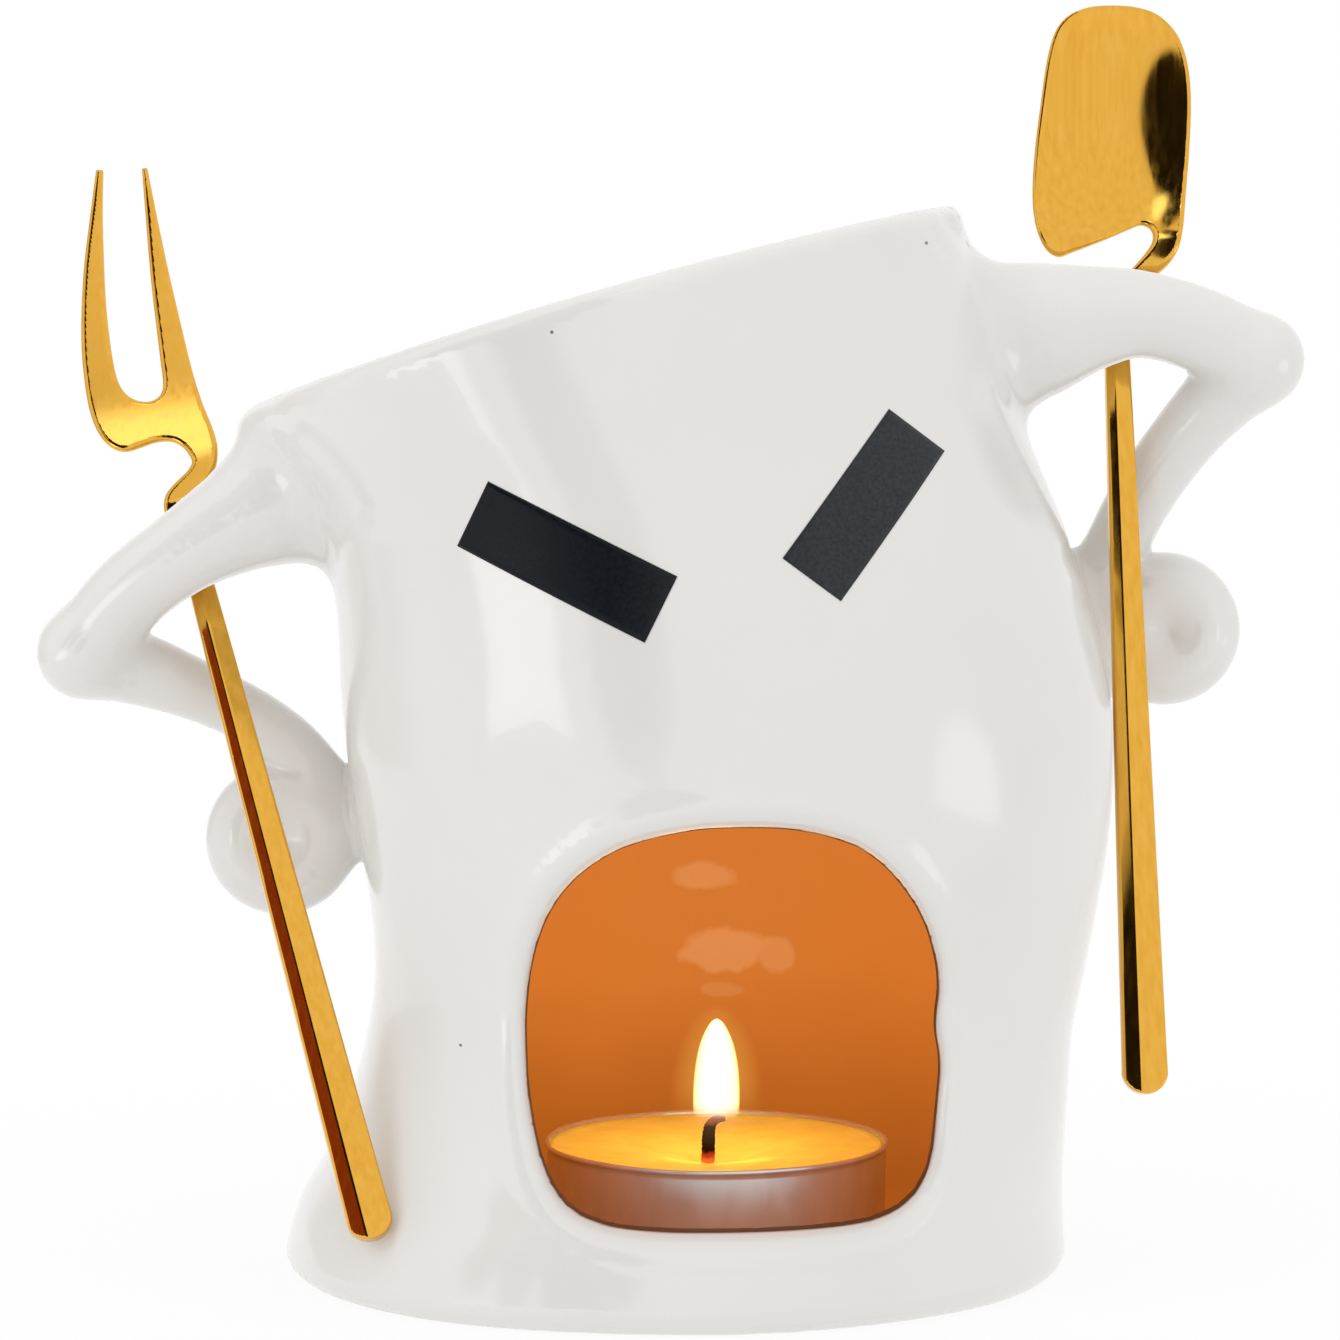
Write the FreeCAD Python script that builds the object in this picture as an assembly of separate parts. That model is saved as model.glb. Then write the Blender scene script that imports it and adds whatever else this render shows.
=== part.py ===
# Fondue mug: a glazed ceramic mug with a candle chamber under its bowl, shaped as a stout figure
# with its hands on its hips. A fondue fork and a spoon hang in the loops of the arms.
# Millimetres. Origin: centre of the foot, where it meets the table. +Z is up and the open mouth of
# the chamber faces -Y. Left and right are as seen from the front: left is -X.
import FreeCAD, Part
import math
import os

from FreeCAD import Placement, Rotation, Vector

# Body outline from the foot up: height, left side, right side, half depth
BODY = (
    (0.0, -43.6, 44.4, 41.2),
    (7.0, -41.6, 44.0, 40.4),
    (12.0, -38.8, 44.0, 39.2),
    (19.0, -35.8, 44.4, 38.2),
    (26.5, -33.8, 44.9, 37.6),
    (33.0, -33.0, 46.2, 37.6),
    (40.5, -33.4, 47.7, 38.2),
    (48.0, -34.6, 48.9, 38.9),
    (56.0, -35.7, 49.4, 39.4),
    (64.0, -36.5, 48.9, 39.6),
    (74.0, -37.1, 46.5, 39.3),
    (84.0, -39.2, 42.8, 38.8),
    (94.0, -44.9, 38.9, 38.4),
    (106.0, -50.0, 35.4, 38.4),
    (126.0, -56.0, 29.0, 38.4),
)
SQUARENESS = 2.15
SECTION_POINTS = 16
LEVEL_SPACING = 4.0
CORNER_STEPS = 3
WALL = 4.0

# Foot ring
FOOT_ROUND = 2.4
FOOT_RING_WIDTH = 5.5
FOOT_RECESS = 1.0

# Rim: a sloping, slightly domed cut, bevelled on both sides of the wall
RIM_HEIGHT = 110.4
RIM_SLOPE = 15.2
RIM_DOME_RADIUS = 600.0
RIM_BEVEL = 1.4

# Candle chamber and bowl, one above the other, with a partition between them
CHAMBER_FLOOR = 3.2
CHAMBER_CEILING = 57.0
CHAMBER_CORNER = 3.6
PARTITION = 4.2
BOWL_CORNER = 9.0

# Mouth of the chamber, in the front wall
MOUTH_X = 6.6
MOUTH_SILL = 10.7
MOUTH_WIDTH = 42.7
MOUTH_HEIGHT = 42.1
MOUTH_WAIST = 20.2
MOUTH_TOP_SQUARENESS = 2.5
MOUTH_SILL_SQUARENESS = 4.1
MOUTH_POINTS = 28
LIP_ROUND = 2.0

# Arms: X, Y, Z and radius along the middle of each, from inside the wall to the elbow and on to the hand
LEFT_UPPER_ARM = (
    (-31.0, -1.5, 87.6, 9.6),
    (-39.5, -3.0, 86.0, 9.4),
    (-47.4, -4.4, 83.6, 5.9),
    (-53.6, -4.6, 80.2, 4.3),
    (-59.8, -3.0, 75.3, 4.2),
    (-65.4, -0.4, 68.6, 4.6),
)
LEFT_FOREARM = (
    (-65.4, -0.4, 68.6, 4.6),
    (-58.5, 2.2, 66.0, 3.9),
    (-52.4, 4.0, 63.4, 3.2),
    (-46.5, 5.4, 60.3, 3.1),
    (-41.8, 6.0, 56.0, 3.2),
    (-40.6, 6.0, 50.4, 3.3),
)
RIGHT_UPPER_ARM = (
    (27.0, -1.5, 102.2, 9.4),
    (36.0, -3.0, 102.9, 9.2),
    (44.2, -3.9, 106.0, 5.9),
    (51.0, -3.8, 106.0, 4.5),
    (58.0, -2.4, 104.4, 4.4),
    (65.2, -0.4, 100.8, 4.6),
)
RIGHT_FOREARM = (
    (65.2, -0.4, 100.8, 4.6),
    (58.9, 2.4, 94.1, 3.8),
    (53.9, 4.2, 87.2, 3.5),
    (50.5, 5.4, 80.8, 3.4),
    (49.6, 6.0, 76.6, 3.3),
    (51.4, 6.0, 72.6, 3.3),
)
ELBOW_ROUND = 0.15
LIMB_SIDES = 20

# Hands: a curl with a dimple in the middle of each side
LEFT_HAND = (-44.0, 6.0, 46.8)
RIGHT_HAND = (55.6, 6.0, 70.6)
HAND_RADIUS = 8.6
HAND_CURL = 4.0
DIMPLE_DEPTH = 1.4
DIMPLE_SPREAD = 0.5
HAND_STEPS = 3

# Brows: thin decals on the front; place, length and width as seen from straight ahead, and turn in degrees
LEFT_BROW_X = -10.7
LEFT_BROW_Z = 80.4
LEFT_BROW_LENGTH = 21.8
LEFT_BROW_WIDTH = 7.6
LEFT_BROW_TURN = -26.2
RIGHT_BROW_X = 20.2
RIGHT_BROW_Z = 86.2
RIGHT_BROW_LENGTH = 18.9
RIGHT_BROW_WIDTH = 7.5
RIGHT_BROW_TURN = 53.5
DECAL_THICKNESS = 0.25

# Tealight
CANDLE_X = 5.1
CANDLE_Y = -8.0
CUP_DIAMETER = 38.5
CUP_HEIGHT = 11.8
CUP_WALL = 0.35
CUP_LIP = 0.5
WAX_DEPTH = 10.3
SUSTAINER_OFFSET = -1.0
SUSTAINER_DIAMETER = 13.0
SUSTAINER_THICKNESS = 0.4
SUSTAINER_COLLAR = 3.0
SUSTAINER_COLLAR_DIAMETER = 2.8
WICK_DIAMETER = 1.3
WICK_HEIGHT = 4.2
WICK_BEND = 1.5
WICK_TIP = 1.1

# Cutlery: tapered handles with two front facets that meet in a ridge, and thin blades
HANDLE_TOP_WIDTH = 2.7
HANDLE_TOP_THICKNESS = 1.5
HANDLE_END_WIDTH = 5.0
HANDLE_END_THICKNESS = 2.4
HANDLE_RIDGE = 0.14
BLADE_THICKNESS = 1.2

# Fork: where its handle ends, how it leans sideways and back, and its handle's length
FORK_END = (-31.3, -29.8, 8.2)
FORK_LEAN = -15.8
FORK_TILT = -23.4
FORK_HANDLE = 86.2

# Outlines of the fork's head as (X, Z) from the top of its handle: left edge, gap and right edge
FORK_LEFT_EDGE = (
    (-HANDLE_TOP_WIDTH / 2.0, -1.5), (-1.55, 0.8), (-0.4, 3.0), (1.9, 4.2), (2.5, 5.7), (0.9, 8.0),
    (-2.0, 8.3), (-5.2, 8.2), (-7.1, 11.0), (-7.1, 17.2), (-5.6, 24.8), (-3.4, 32.0), (0.8, 42.8),
)
FORK_GAP = (
    (1.4, 42.7), (-0.3, 35.0), (-2.0, 26.4), (-3.1, 19.1), (-2.9, 15.2), (-0.8, 13.6), (1.6, 14.8),
    (2.6, 21.3), (3.9, 31.2), (5.8, 41.7),
)
FORK_RIGHT_EDGE = (
    (6.4, 41.5), (6.1, 31.9), (5.4, 19.2), (5.2, 11.7), (5.8, 7.1), (5.4, 4.9), (3.8, 2.8), (1.7, 1.0),
    (HANDLE_TOP_WIDTH / 2.0, -1.5),
)

# Spoon: the same, and the hollow of its bowl
SPOON_END = (51.4, -19.2, 21.9)
SPOON_LEAN = -1.2
SPOON_TILT = -14.1
SPOON_HANDLE = 86.4
SPOON_DISH_RADIUS = 27.0
SPOON_DISH_X = 0.6
SPOON_DISH_Z = 19.6

# Rim of the spoon's bowl and middle of its neck as (X, Z) from the top of its handle; the neck has widths too
SPOON_RIM = (
    (1.9, 34.7), (-2.4, 34.2), (-5.3, 31.8), (-6.9, 25.6), (-8.2, 18.4), (-8.6, 12.5), (-7.9, 8.2),
    (-5.8, 6.2), (-1.7, 7.2), (2.2, 9.2), (5.2, 9.9), (8.0, 10.6), (8.9, 16.8), (9.5, 25.0), (8.9, 31.2),
    (6.2, 34.0),
)
SPOON_NECK = (
    (6.4, 11.4, 3.0), (6.3, 7.4, 3.0), (4.6, 4.6, 2.6), (1.8, 2.3, 2.6), (0.0, -1.2, HANDLE_TOP_WIDTH),
)


def body_at(z):
    """Left side, right side and half depth of the body at a height, smooth between the stations."""
    z = min(max(z, BODY[0][0]), BODY[-1][0])
    i = max(k for k in range(len(BODY) - 1) if BODY[k][0] <= z)
    span = BODY[i + 1][0] - BODY[i][0]
    t = (z - BODY[i][0]) / span
    values = []
    for column in (1, 2, 3):
        slopes = []
        for k in (i, i + 1):
            below = BODY[max(k - 1, 0)]
            above = BODY[min(k + 1, len(BODY) - 1)]
            slopes.append((above[column] - below[column]) / (above[0] - below[0]) * span)
        start = BODY[i][column]
        rise = BODY[i + 1][column] - start
        bend = t * (1.0 - t) * ((slopes[0] - rise) * (1.0 - t) - (slopes[1] - rise) * t)
        values.append(start + rise * t + bend)
    return values


def signed_power(value, power):
    return math.copysign(abs(value) ** power, value)


def body_section(z, inset):
    """Level curve round the body at height z, moved inwards by inset."""
    left, right, half_depth = body_at(z)
    middle = (left + right) / 2.0
    half_width = (right - left) / 2.0
    points = []
    for k in range(SECTION_POINTS):
        angle = 2.0 * math.pi * k / SECTION_POINTS
        across = signed_power(math.cos(angle), 2.0 / SQUARENESS)
        along = signed_power(math.sin(angle), 2.0 / SQUARENESS)
        points.append(Vector(middle + (half_width - inset) * across, (half_depth - inset) * along, z))
    curve = Part.BSplineCurve()
    steps = [k / SECTION_POINTS for k in range(SECTION_POINTS + 1)]
    curve.interpolate(Points=points, Parameters=steps, PeriodicFlag=True)
    return Part.Wire([curve.toShape()])


def corner(radius):
    """Steps of a quarter round from its flat end, as distances in from the wall and off the flat."""
    if not radius:
        return [(0.0, 0.0)]
    turns = [math.pi / 2.0 * k / CORNER_STEPS for k in range(CORNER_STEPS + 1)]
    return [(radius * (1.0 - math.sin(turn)), radius * (1.0 - math.cos(turn))) for turn in turns]


def rim_at(x):
    """Height of the rim's surface at a distance x to the right of the foot's centre."""
    slope = math.radians(RIM_SLOPE)
    aside = x - RIM_DOME_RADIUS * math.sin(slope)
    return RIM_HEIGHT - RIM_DOME_RADIUS * math.cos(slope) + math.sqrt(RIM_DOME_RADIUS ** 2 - aside ** 2)


def body_top():
    """Height that the body is made to before the rim is cut, clear of the rim's highest point."""
    return rim_at(max(row[2] for row in BODY))


def body_solid(bottom, top, inset, bottom_round=0.0, top_round=0.0):
    """Solid of the body between two heights, moved inwards by inset, with rounded ends.

    The rim crosses a single band of the walls, so stations that it would cut are left out.
    """
    low = bottom + bottom_round + LEVEL_SPACING
    high = top - top_round - LEVEL_SPACING
    levels = [(bottom + up, inset + inwards) for inwards, up in corner(bottom_round)]
    stations = [row[0] for row in BODY if row[0] < rim_at(row[1]) - RIM_BEVEL]
    levels += [(z, inset) for z in stations if low < z < high]
    levels += [(top - down, inset + inwards) for inwards, down in reversed(corner(top_round))]
    return Part.makeLoft([body_section(z, inwards) for z, inwards in levels], True, True)


def above_rim():
    """Everything above the sloping, domed surface of the rim."""
    size = 4.0 * BODY[-1][0]
    block = Part.makeBox(size, size, size, Vector(-size / 2.0, -size / 2.0, -size / 2.0))
    axis_start = Vector(0.0, -size / 2.0, -RIM_DOME_RADIUS)
    dome = Part.makeCylinder(RIM_DOME_RADIUS, size, axis_start, Vector(0, 1, 0))
    block = block.cut(dome)
    block.Placement = Placement(Vector(0.0, 0.0, RIM_HEIGHT), Rotation(Vector(0, 1, 0), -RIM_SLOPE))
    return block


def tube_section(line, place, radius):
    """Many-sided ring square to a line at a place on it; all rings start on the same side."""
    turns = [2.0 * math.pi * k / LIMB_SIDES for k in range(LIMB_SIDES)]
    corners = [Vector(radius * math.cos(turn), radius * math.sin(turn), 0.0) for turn in turns]
    ring = Part.makePolygon(corners + corners[:1])
    turn = Rotation(Vector(0, 1, 0), Vector(0, 0, 0), line.tangent(place)[0], "ZXY")
    ring.Placement = Placement(line.value(place), turn)
    return ring


def make_tube(points):
    """Round limb with a changing radius along a smooth line through the points."""
    line = Part.BSplineCurve()
    line.interpolate(Points=[Vector(x, y, z) for x, y, z, radius in points])
    sections = [tube_section(line, line.parameter(Vector(x, y, z)), radius) for x, y, z, radius in points]
    return Part.makeLoft(sections, True, True)


def make_arm(upper_arm, forearm, hand):
    """Upper arm, elbow, forearm and hand as one limb."""
    x, y, z, radius = upper_arm[-1]
    elbow = Part.makeSphere(radius + ELBOW_ROUND, Vector(x, y, z))
    return make_tube(upper_arm).fuse(elbow).fuse(make_tube(forearm)).fuse(make_hand(hand))


def make_hand(centre):
    """Curled hand: a flattened ball turned about the Y axis, with a dimple in the middle."""
    ring = HAND_RADIUS - HAND_CURL
    hub = HAND_CURL - DIMPLE_DEPTH
    front = [(0.0, hub), (ring * DIMPLE_SPREAD, hub + DIMPLE_DEPTH * DIMPLE_SPREAD)]
    for k in range(HAND_STEPS):
        turn = math.pi / 2.0 * k / HAND_STEPS
        front.append((ring + HAND_CURL * math.sin(turn), HAND_CURL * math.cos(turn)))
    front.append((HAND_RADIUS, 0.0))
    outline = [Vector(x, -y, 0.0) for x, y in front] + [Vector(x, y, 0.0) for x, y in reversed(front[:-1])]
    hand = Part.Face(Part.makePolygon(outline + outline[:1])).revolve(Vector(0, 0, 0), Vector(0, 1, 0), 360.0)
    hand.translate(Vector(*centre))
    return hand


def front_at(x, z):
    """Y of the body's front at a point seen from straight ahead."""
    left, right, half_depth = body_at(z)
    across = abs(2.0 * x - left - right) / (right - left)
    return -half_depth * (1.0 - across ** SQUARENESS) ** (1.0 / SQUARENESS)


def mouth_section(flare, place):
    """Outline of the mouth, wider by flare; place gives Y at a point seen from straight ahead."""
    waist = MOUTH_SILL + MOUTH_WAIST
    points = []
    for k in range(MOUTH_POINTS):
        angle = 2.0 * math.pi * k / MOUTH_POINTS
        upper = math.sin(angle) > 0.0
        squareness = MOUTH_TOP_SQUARENESS if upper else MOUTH_SILL_SQUARENESS
        reach = MOUTH_HEIGHT - MOUTH_WAIST if upper else MOUTH_WAIST
        x = MOUTH_X + (MOUTH_WIDTH / 2.0 + flare) * signed_power(math.cos(angle), 2.0 / squareness)
        z = waist + (reach + flare) * signed_power(math.sin(angle), 2.0 / squareness)
        points.append(Vector(x, place(x, z), z))
    curve = Part.BSplineCurve()
    steps = [k / MOUTH_POINTS for k in range(MOUTH_POINTS + 1)]
    curve.interpolate(Points=points, Parameters=steps, PeriodicFlag=True)
    return Part.Wire([curve.toShape()])


def make_mouth():
    """Cutter for the chamber's mouth: squarer along the sill, and opened out in a quarter round outside."""
    reach = 2.0 * max(row[3] for row in BODY)
    sections = [mouth_section(LIP_ROUND, lambda x, z: -reach)]
    for flare, depth in corner(LIP_ROUND):
        sections.append(mouth_section(flare, lambda x, z: front_at(x, z) + depth))
    sections.append(mouth_section(0.0, lambda x, z: -WALL))
    return Part.makeLoft(sections, True, True)


def is_rim(face):
    """True for the face left by the cut of the rim."""
    return isinstance(face.Surface, Part.Cylinder) and face.Surface.Radius > RIM_DOME_RADIUS / 2.0


def make_mug():
    """One slip-cast piece: body, arms, bowl, chamber, mouth and foot."""
    top = body_top()
    bowl_floor = CHAMBER_CEILING + PARTITION
    body = body_solid(0.0, top, 0.0, FOOT_ROUND).cut(above_rim())
    body = body.cut(body_solid(bowl_floor, top, WALL, BOWL_CORNER))
    body = body.cut(body_solid(CHAMBER_FLOOR, CHAMBER_CEILING, WALL, CHAMBER_CORNER, CHAMBER_CORNER))
    body = body.cut(body_solid(0.0, FOOT_RECESS, FOOT_RING_WIDTH)).cut(make_mouth())
    body = body.makeChamfer(RIM_BEVEL, [edge for face in body.Faces if is_rim(face) for edge in face.Edges])
    middle_of_wall = body_solid(0.0, top, WALL / 2.0)
    for limbs in ((LEFT_UPPER_ARM, LEFT_FOREARM, LEFT_HAND), (RIGHT_UPPER_ARM, RIGHT_FOREARM, RIGHT_HAND)):
        body = body.fuse(make_arm(*limbs).cut(middle_of_wall))
    return body


def make_brow(x, z, length, width, turn):
    """Thin decal that follows the front of the body."""
    reach = 2.0 * body_at(z)[2]
    block = Part.makeBox(length, reach, width, Vector(-length / 2.0, -reach, -width / 2.0))
    block.Placement = Placement(Vector(x, 0.0, z), Rotation(Vector(0, 1, 0), -turn))
    top = body_top()
    skin = body_solid(0.0, top, -DECAL_THICKNESS).cut(body_solid(0.0, top, 0.0))
    return skin.common(block)


def turned(profile, x):
    """Solid of a closed profile of (radius, height) points, turned about an upright axis at x."""
    points = [Vector(x + radius, CANDLE_Y, height) for radius, height in profile]
    face = Part.Face(Part.makePolygon(points + points[:1]))
    return face.revolve(Vector(x, CANDLE_Y, 0.0), Vector(0, 0, 1), 360.0)


def make_cup():
    """Thin drawn cup with its lip turned outwards."""
    bottom = CHAMBER_FLOOR
    top = bottom + CUP_HEIGHT
    outside = CUP_DIAMETER / 2.0 - CUP_LIP
    inside = outside - CUP_WALL
    profile = [
        (0.0, bottom),
        (outside, bottom),
        (outside, top - CUP_LIP),
        (outside + CUP_LIP, top),
        (inside, top),
        (inside, bottom + CUP_WALL),
        (0.0, bottom + CUP_WALL),
    ]
    return turned(profile, CANDLE_X)


def make_sustainer():
    """Stamped disc with a collar that holds the wick upright."""
    bottom = CHAMBER_FLOOR + CUP_WALL
    disc = bottom + SUSTAINER_THICKNESS
    collar = disc + SUSTAINER_COLLAR
    profile = [
        (0.0, bottom),
        (SUSTAINER_DIAMETER / 2.0, bottom),
        (SUSTAINER_DIAMETER / 2.0, disc),
        (SUSTAINER_COLLAR_DIAMETER / 2.0, disc),
        (SUSTAINER_COLLAR_DIAMETER / 2.0, collar),
        (WICK_DIAMETER / 2.0, collar),
        (WICK_DIAMETER / 2.0, disc),
        (0.0, disc),
    ]
    return turned(profile, CANDLE_X + SUSTAINER_OFFSET)


def make_wick():
    """Braided wick that stands in the collar and bends over at its burnt tip."""
    foot = Vector(CANDLE_X + SUSTAINER_OFFSET, CANDLE_Y, CHAMBER_FLOOR + CUP_WALL + SUSTAINER_THICKNESS)
    bend = Vector(foot.x, CANDLE_Y, CHAMBER_FLOOR + CUP_WALL + WAX_DEPTH + WICK_HEIGHT - WICK_BEND)
    over = bend + Vector(WICK_BEND, 0.0, WICK_BEND)
    tip = over + Vector(WICK_TIP, 0.0, 0.0)
    path = Part.makePolygon([foot, bend, over, tip])
    ring = Part.Wire([Part.Circle(foot, Vector(0, 0, 1), WICK_DIAMETER / 2.0).toShape()])
    return path.makePipeShell([ring], True, False, 1)


def make_wax():
    """Wax that fills the cup round the wick and its sustainer."""
    bottom = CHAMBER_FLOOR + CUP_WALL
    top = bottom + WAX_DEPTH
    inside = CUP_DIAMETER / 2.0 - CUP_LIP - CUP_WALL
    wax = turned([(0.0, bottom), (inside, bottom), (inside, top), (0.0, top)], CANDLE_X)
    return wax.cut(make_sustainer()).cut(make_wick())


def curve_edge(points):
    """Smooth edge through (x, z) points in the plane of a piece of cutlery."""
    curve = Part.BSplineCurve()
    curve.interpolate(Points=[Vector(x, 0.0, z) for x, z in points])
    return curve.toShape()


def line_edge(start, end):
    """Straight edge between two (x, z) points in the plane of a piece of cutlery."""
    return Part.LineSegment(Vector(start[0], 0.0, start[1]), Vector(end[0], 0.0, end[1])).toShape()


def plate(edges, thickness):
    """Flat plate of an outline, with its middle on the plane of the cutlery."""
    blade = Part.Face(Part.Wire(edges)).extrude(Vector(0.0, thickness, 0.0))
    blade.translate(Vector(0.0, -thickness / 2.0, 0.0))
    return blade


def handle_section(width, thickness, z):
    """Section of a handle: flat back, thin sides and two front facets that meet in a ridge."""
    corners = [
        Vector(-width / 2.0, thickness / 2.0, z),
        Vector(width / 2.0, thickness / 2.0, z),
        Vector(width / 2.0, -thickness / 8.0, z),
        Vector(-HANDLE_RIDGE * width, -thickness / 2.0, z),
        Vector(-width / 2.0, -thickness / 8.0, z),
    ]
    return Part.makePolygon(corners + corners[:1])


def make_handle(length):
    """Tapered handle up the Z axis from its round end."""
    end = handle_section(HANDLE_END_WIDTH, HANDLE_END_THICKNESS, 0.0)
    top = handle_section(HANDLE_TOP_WIDTH, HANDLE_TOP_THICKNESS, length)
    side = HANDLE_END_WIDTH / 2.0
    arc = Part.Arc(Vector(-side, 0.0, side), Vector(0, 0, 0), Vector(side, 0.0, side))
    outline = [
        arc.toShape(),
        line_edge((side, side), (side, length)),
        line_edge((side, length), (-side, length)),
        line_edge((-side, length), (-side, side)),
    ]
    return Part.makeLoft([end, top], True, True).common(plate(outline, 2.0 * HANDLE_END_THICKNESS))


def hung(piece, end, lean, tilt):
    """Puts a piece of cutlery in place: its round end, its lean sideways and its tilt back."""
    turn = Rotation(Vector(1, 0, 0), tilt) * Rotation(Vector(0, 1, 0), lean)
    piece.Placement = Placement(Vector(*end), turn)
    return piece


def raised(points, height):
    return [(x, z + height) for x, z in points]


def make_fork():
    """Two long tines on a hooked neck, cut from one plate with the handle."""
    left = raised(FORK_LEFT_EDGE, FORK_HANDLE)
    gap = raised(FORK_GAP, FORK_HANDLE)
    right = raised(FORK_RIGHT_EDGE, FORK_HANDLE)
    outline = [
        curve_edge(left),
        line_edge(left[-1], gap[0]),
        curve_edge(gap),
        line_edge(gap[-1], right[0]),
        curve_edge(right),
        line_edge(right[-1], left[0]),
    ]
    return make_handle(FORK_HANDLE).fuse(plate(outline, BLADE_THICKNESS))


def dish_depth(x, z):
    """How far the hollow side of the spoon's bowl stands forward of its deepest point."""
    away = math.hypot(x - SPOON_DISH_X, z - SPOON_DISH_Z)
    return SPOON_DISH_RADIUS - math.sqrt(SPOON_DISH_RADIUS ** 2 - away ** 2)


def make_spoon_bowl():
    """Squarish bowl, pressed hollow towards the front."""
    curve = Part.BSplineCurve()
    curve.interpolate(Points=[Vector(x, 0.0, z) for x, z in SPOON_RIM], PeriodicFlag=True)
    centre = Vector(SPOON_DISH_X, -SPOON_DISH_RADIUS, SPOON_DISH_Z)
    outside = Part.makeSphere(SPOON_DISH_RADIUS + BLADE_THICKNESS / 2.0, centre)
    inside = Part.makeSphere(SPOON_DISH_RADIUS - BLADE_THICKNESS / 2.0, centre)
    return plate([curve.toShape()], SPOON_DISH_RADIUS).common(outside.cut(inside))


def make_spoon_neck():
    """Hooked strap from the back of the bowl down to the top of the handle."""
    start = dish_depth(SPOON_NECK[0][0], SPOON_NECK[0][1])
    sections = []
    for k, (x, z, width) in enumerate(SPOON_NECK):
        before = SPOON_NECK[max(k - 1, 0)]
        after = SPOON_NECK[min(k + 1, len(SPOON_NECK) - 1)]
        heading = Vector(after[0] - before[0], 0.0, after[1] - before[1]).normalize()
        side = heading.cross(Vector(0, 1, 0)) * (width / 2.0)
        back = Vector(0.0, BLADE_THICKNESS / 2.0, 0.0)
        left = 1.0 - k / (len(SPOON_NECK) - 1)
        middle = Vector(x, -start * left * left * (3.0 - 2.0 * left), z)
        corners = [middle - side - back, middle + side - back, middle + side + back, middle - side + back]
        sections.append(Part.makePolygon(corners + corners[:1]))
    return Part.makeLoft(sections, True, False)


def make_spoon():
    """Bowl and hooked neck on the same handle as the fork's."""
    head = make_spoon_bowl().fuse(make_spoon_neck())
    head.translate(Vector(0.0, 0.0, SPOON_HANDLE))
    return make_handle(SPOON_HANDLE).fuse(head)


def main():
    os.makedirs("parts", exist_ok=True)
    pieces = {
        "mug": make_mug(),
        "left_brow": make_brow(
            LEFT_BROW_X, LEFT_BROW_Z, LEFT_BROW_LENGTH, LEFT_BROW_WIDTH, LEFT_BROW_TURN),
        "right_brow": make_brow(
            RIGHT_BROW_X, RIGHT_BROW_Z, RIGHT_BROW_LENGTH, RIGHT_BROW_WIDTH, RIGHT_BROW_TURN),
        "tealight_cup": make_cup(),
        "wick_sustainer": make_sustainer(),
        "wick": make_wick(),
        "tealight_wax": make_wax(),
        "fork": hung(make_fork(), FORK_END, FORK_LEAN, FORK_TILT),
        "spoon": hung(make_spoon(), SPOON_END, SPOON_LEAN, SPOON_TILT),
    }
    for name, piece in pieces.items():
        print(name, piece.isValid(), len(piece.Solids), round(piece.Volume, 1))
        piece.exportStep("parts/" + name + ".step")


main()
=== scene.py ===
# Fondue mug with its tealight, fork and spoon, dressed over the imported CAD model.
# Shapes are worked out in millimetres and become metres as their meshes are made.
import math

import bmesh
import bpy
import numpy as np
from mathutils import Matrix, Vector


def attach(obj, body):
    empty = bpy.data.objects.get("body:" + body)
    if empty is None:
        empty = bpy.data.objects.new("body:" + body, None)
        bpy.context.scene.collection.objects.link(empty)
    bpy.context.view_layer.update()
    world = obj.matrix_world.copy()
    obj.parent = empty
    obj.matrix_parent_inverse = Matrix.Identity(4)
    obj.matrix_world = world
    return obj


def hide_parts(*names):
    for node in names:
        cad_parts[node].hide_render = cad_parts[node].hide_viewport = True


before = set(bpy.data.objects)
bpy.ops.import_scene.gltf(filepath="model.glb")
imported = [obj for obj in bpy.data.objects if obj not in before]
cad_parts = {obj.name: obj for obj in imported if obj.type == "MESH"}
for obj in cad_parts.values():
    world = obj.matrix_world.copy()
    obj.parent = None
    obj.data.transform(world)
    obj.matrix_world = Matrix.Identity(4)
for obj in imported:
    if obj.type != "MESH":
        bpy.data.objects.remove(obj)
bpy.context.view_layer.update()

# MUG. One slip-cast piece of white earthenware: its walls are 4 mm thick, and the arms and the curled
# hands are cast with the body. Slip and glaze leave soft hollows where forms meet, so the whole casting
# is worked out as one distance, in millimetres and negative in the clay, and meshed from that.
MILLIMETRE = 0.001
# Height, left side, right side and half depth of the body.
BODY_STATIONS = np.array([
    (0.0, -43.6, 44.4, 41.2),
    (7.0, -41.6, 44.0, 40.4),
    (12.0, -38.8, 44.0, 39.2),
    (19.0, -35.8, 44.4, 38.2),
    (26.5, -33.8, 44.9, 37.6),
    (33.0, -33.0, 46.2, 37.6),
    (40.5, -33.4, 47.7, 38.2),
    (48.0, -34.6, 48.9, 38.9),
    (56.0, -35.7, 49.4, 39.4),
    (64.0, -36.5, 48.9, 39.6),
    (74.0, -37.1, 46.5, 39.3),
    (84.0, -39.2, 42.8, 38.8),
    (94.0, -44.9, 38.9, 38.4),
    (106.0, -50.0, 35.4, 38.4),
    (126.0, -56.0, 29.0, 38.4),
])
SQUARENESS = 2.15
WALL = 4.0
FOOT_ROUND = 2.6
FOOT_RING = 5.5
FOOT_RECESS = 1.0
RIM_HEIGHT = 110.4
RIM_SLOPE = math.radians(15.2)
RIM_DOME = 600.0
RIM_ROUND = 1.9
CHAMBER_FLOOR = 3.2
CHAMBER_CEILING = 57.0
CHAMBER_CORNER = 3.6
BOWL_FLOOR = 61.2
BOWL_CORNER = 9.0
LIP_ROUND = 2.3


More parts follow.
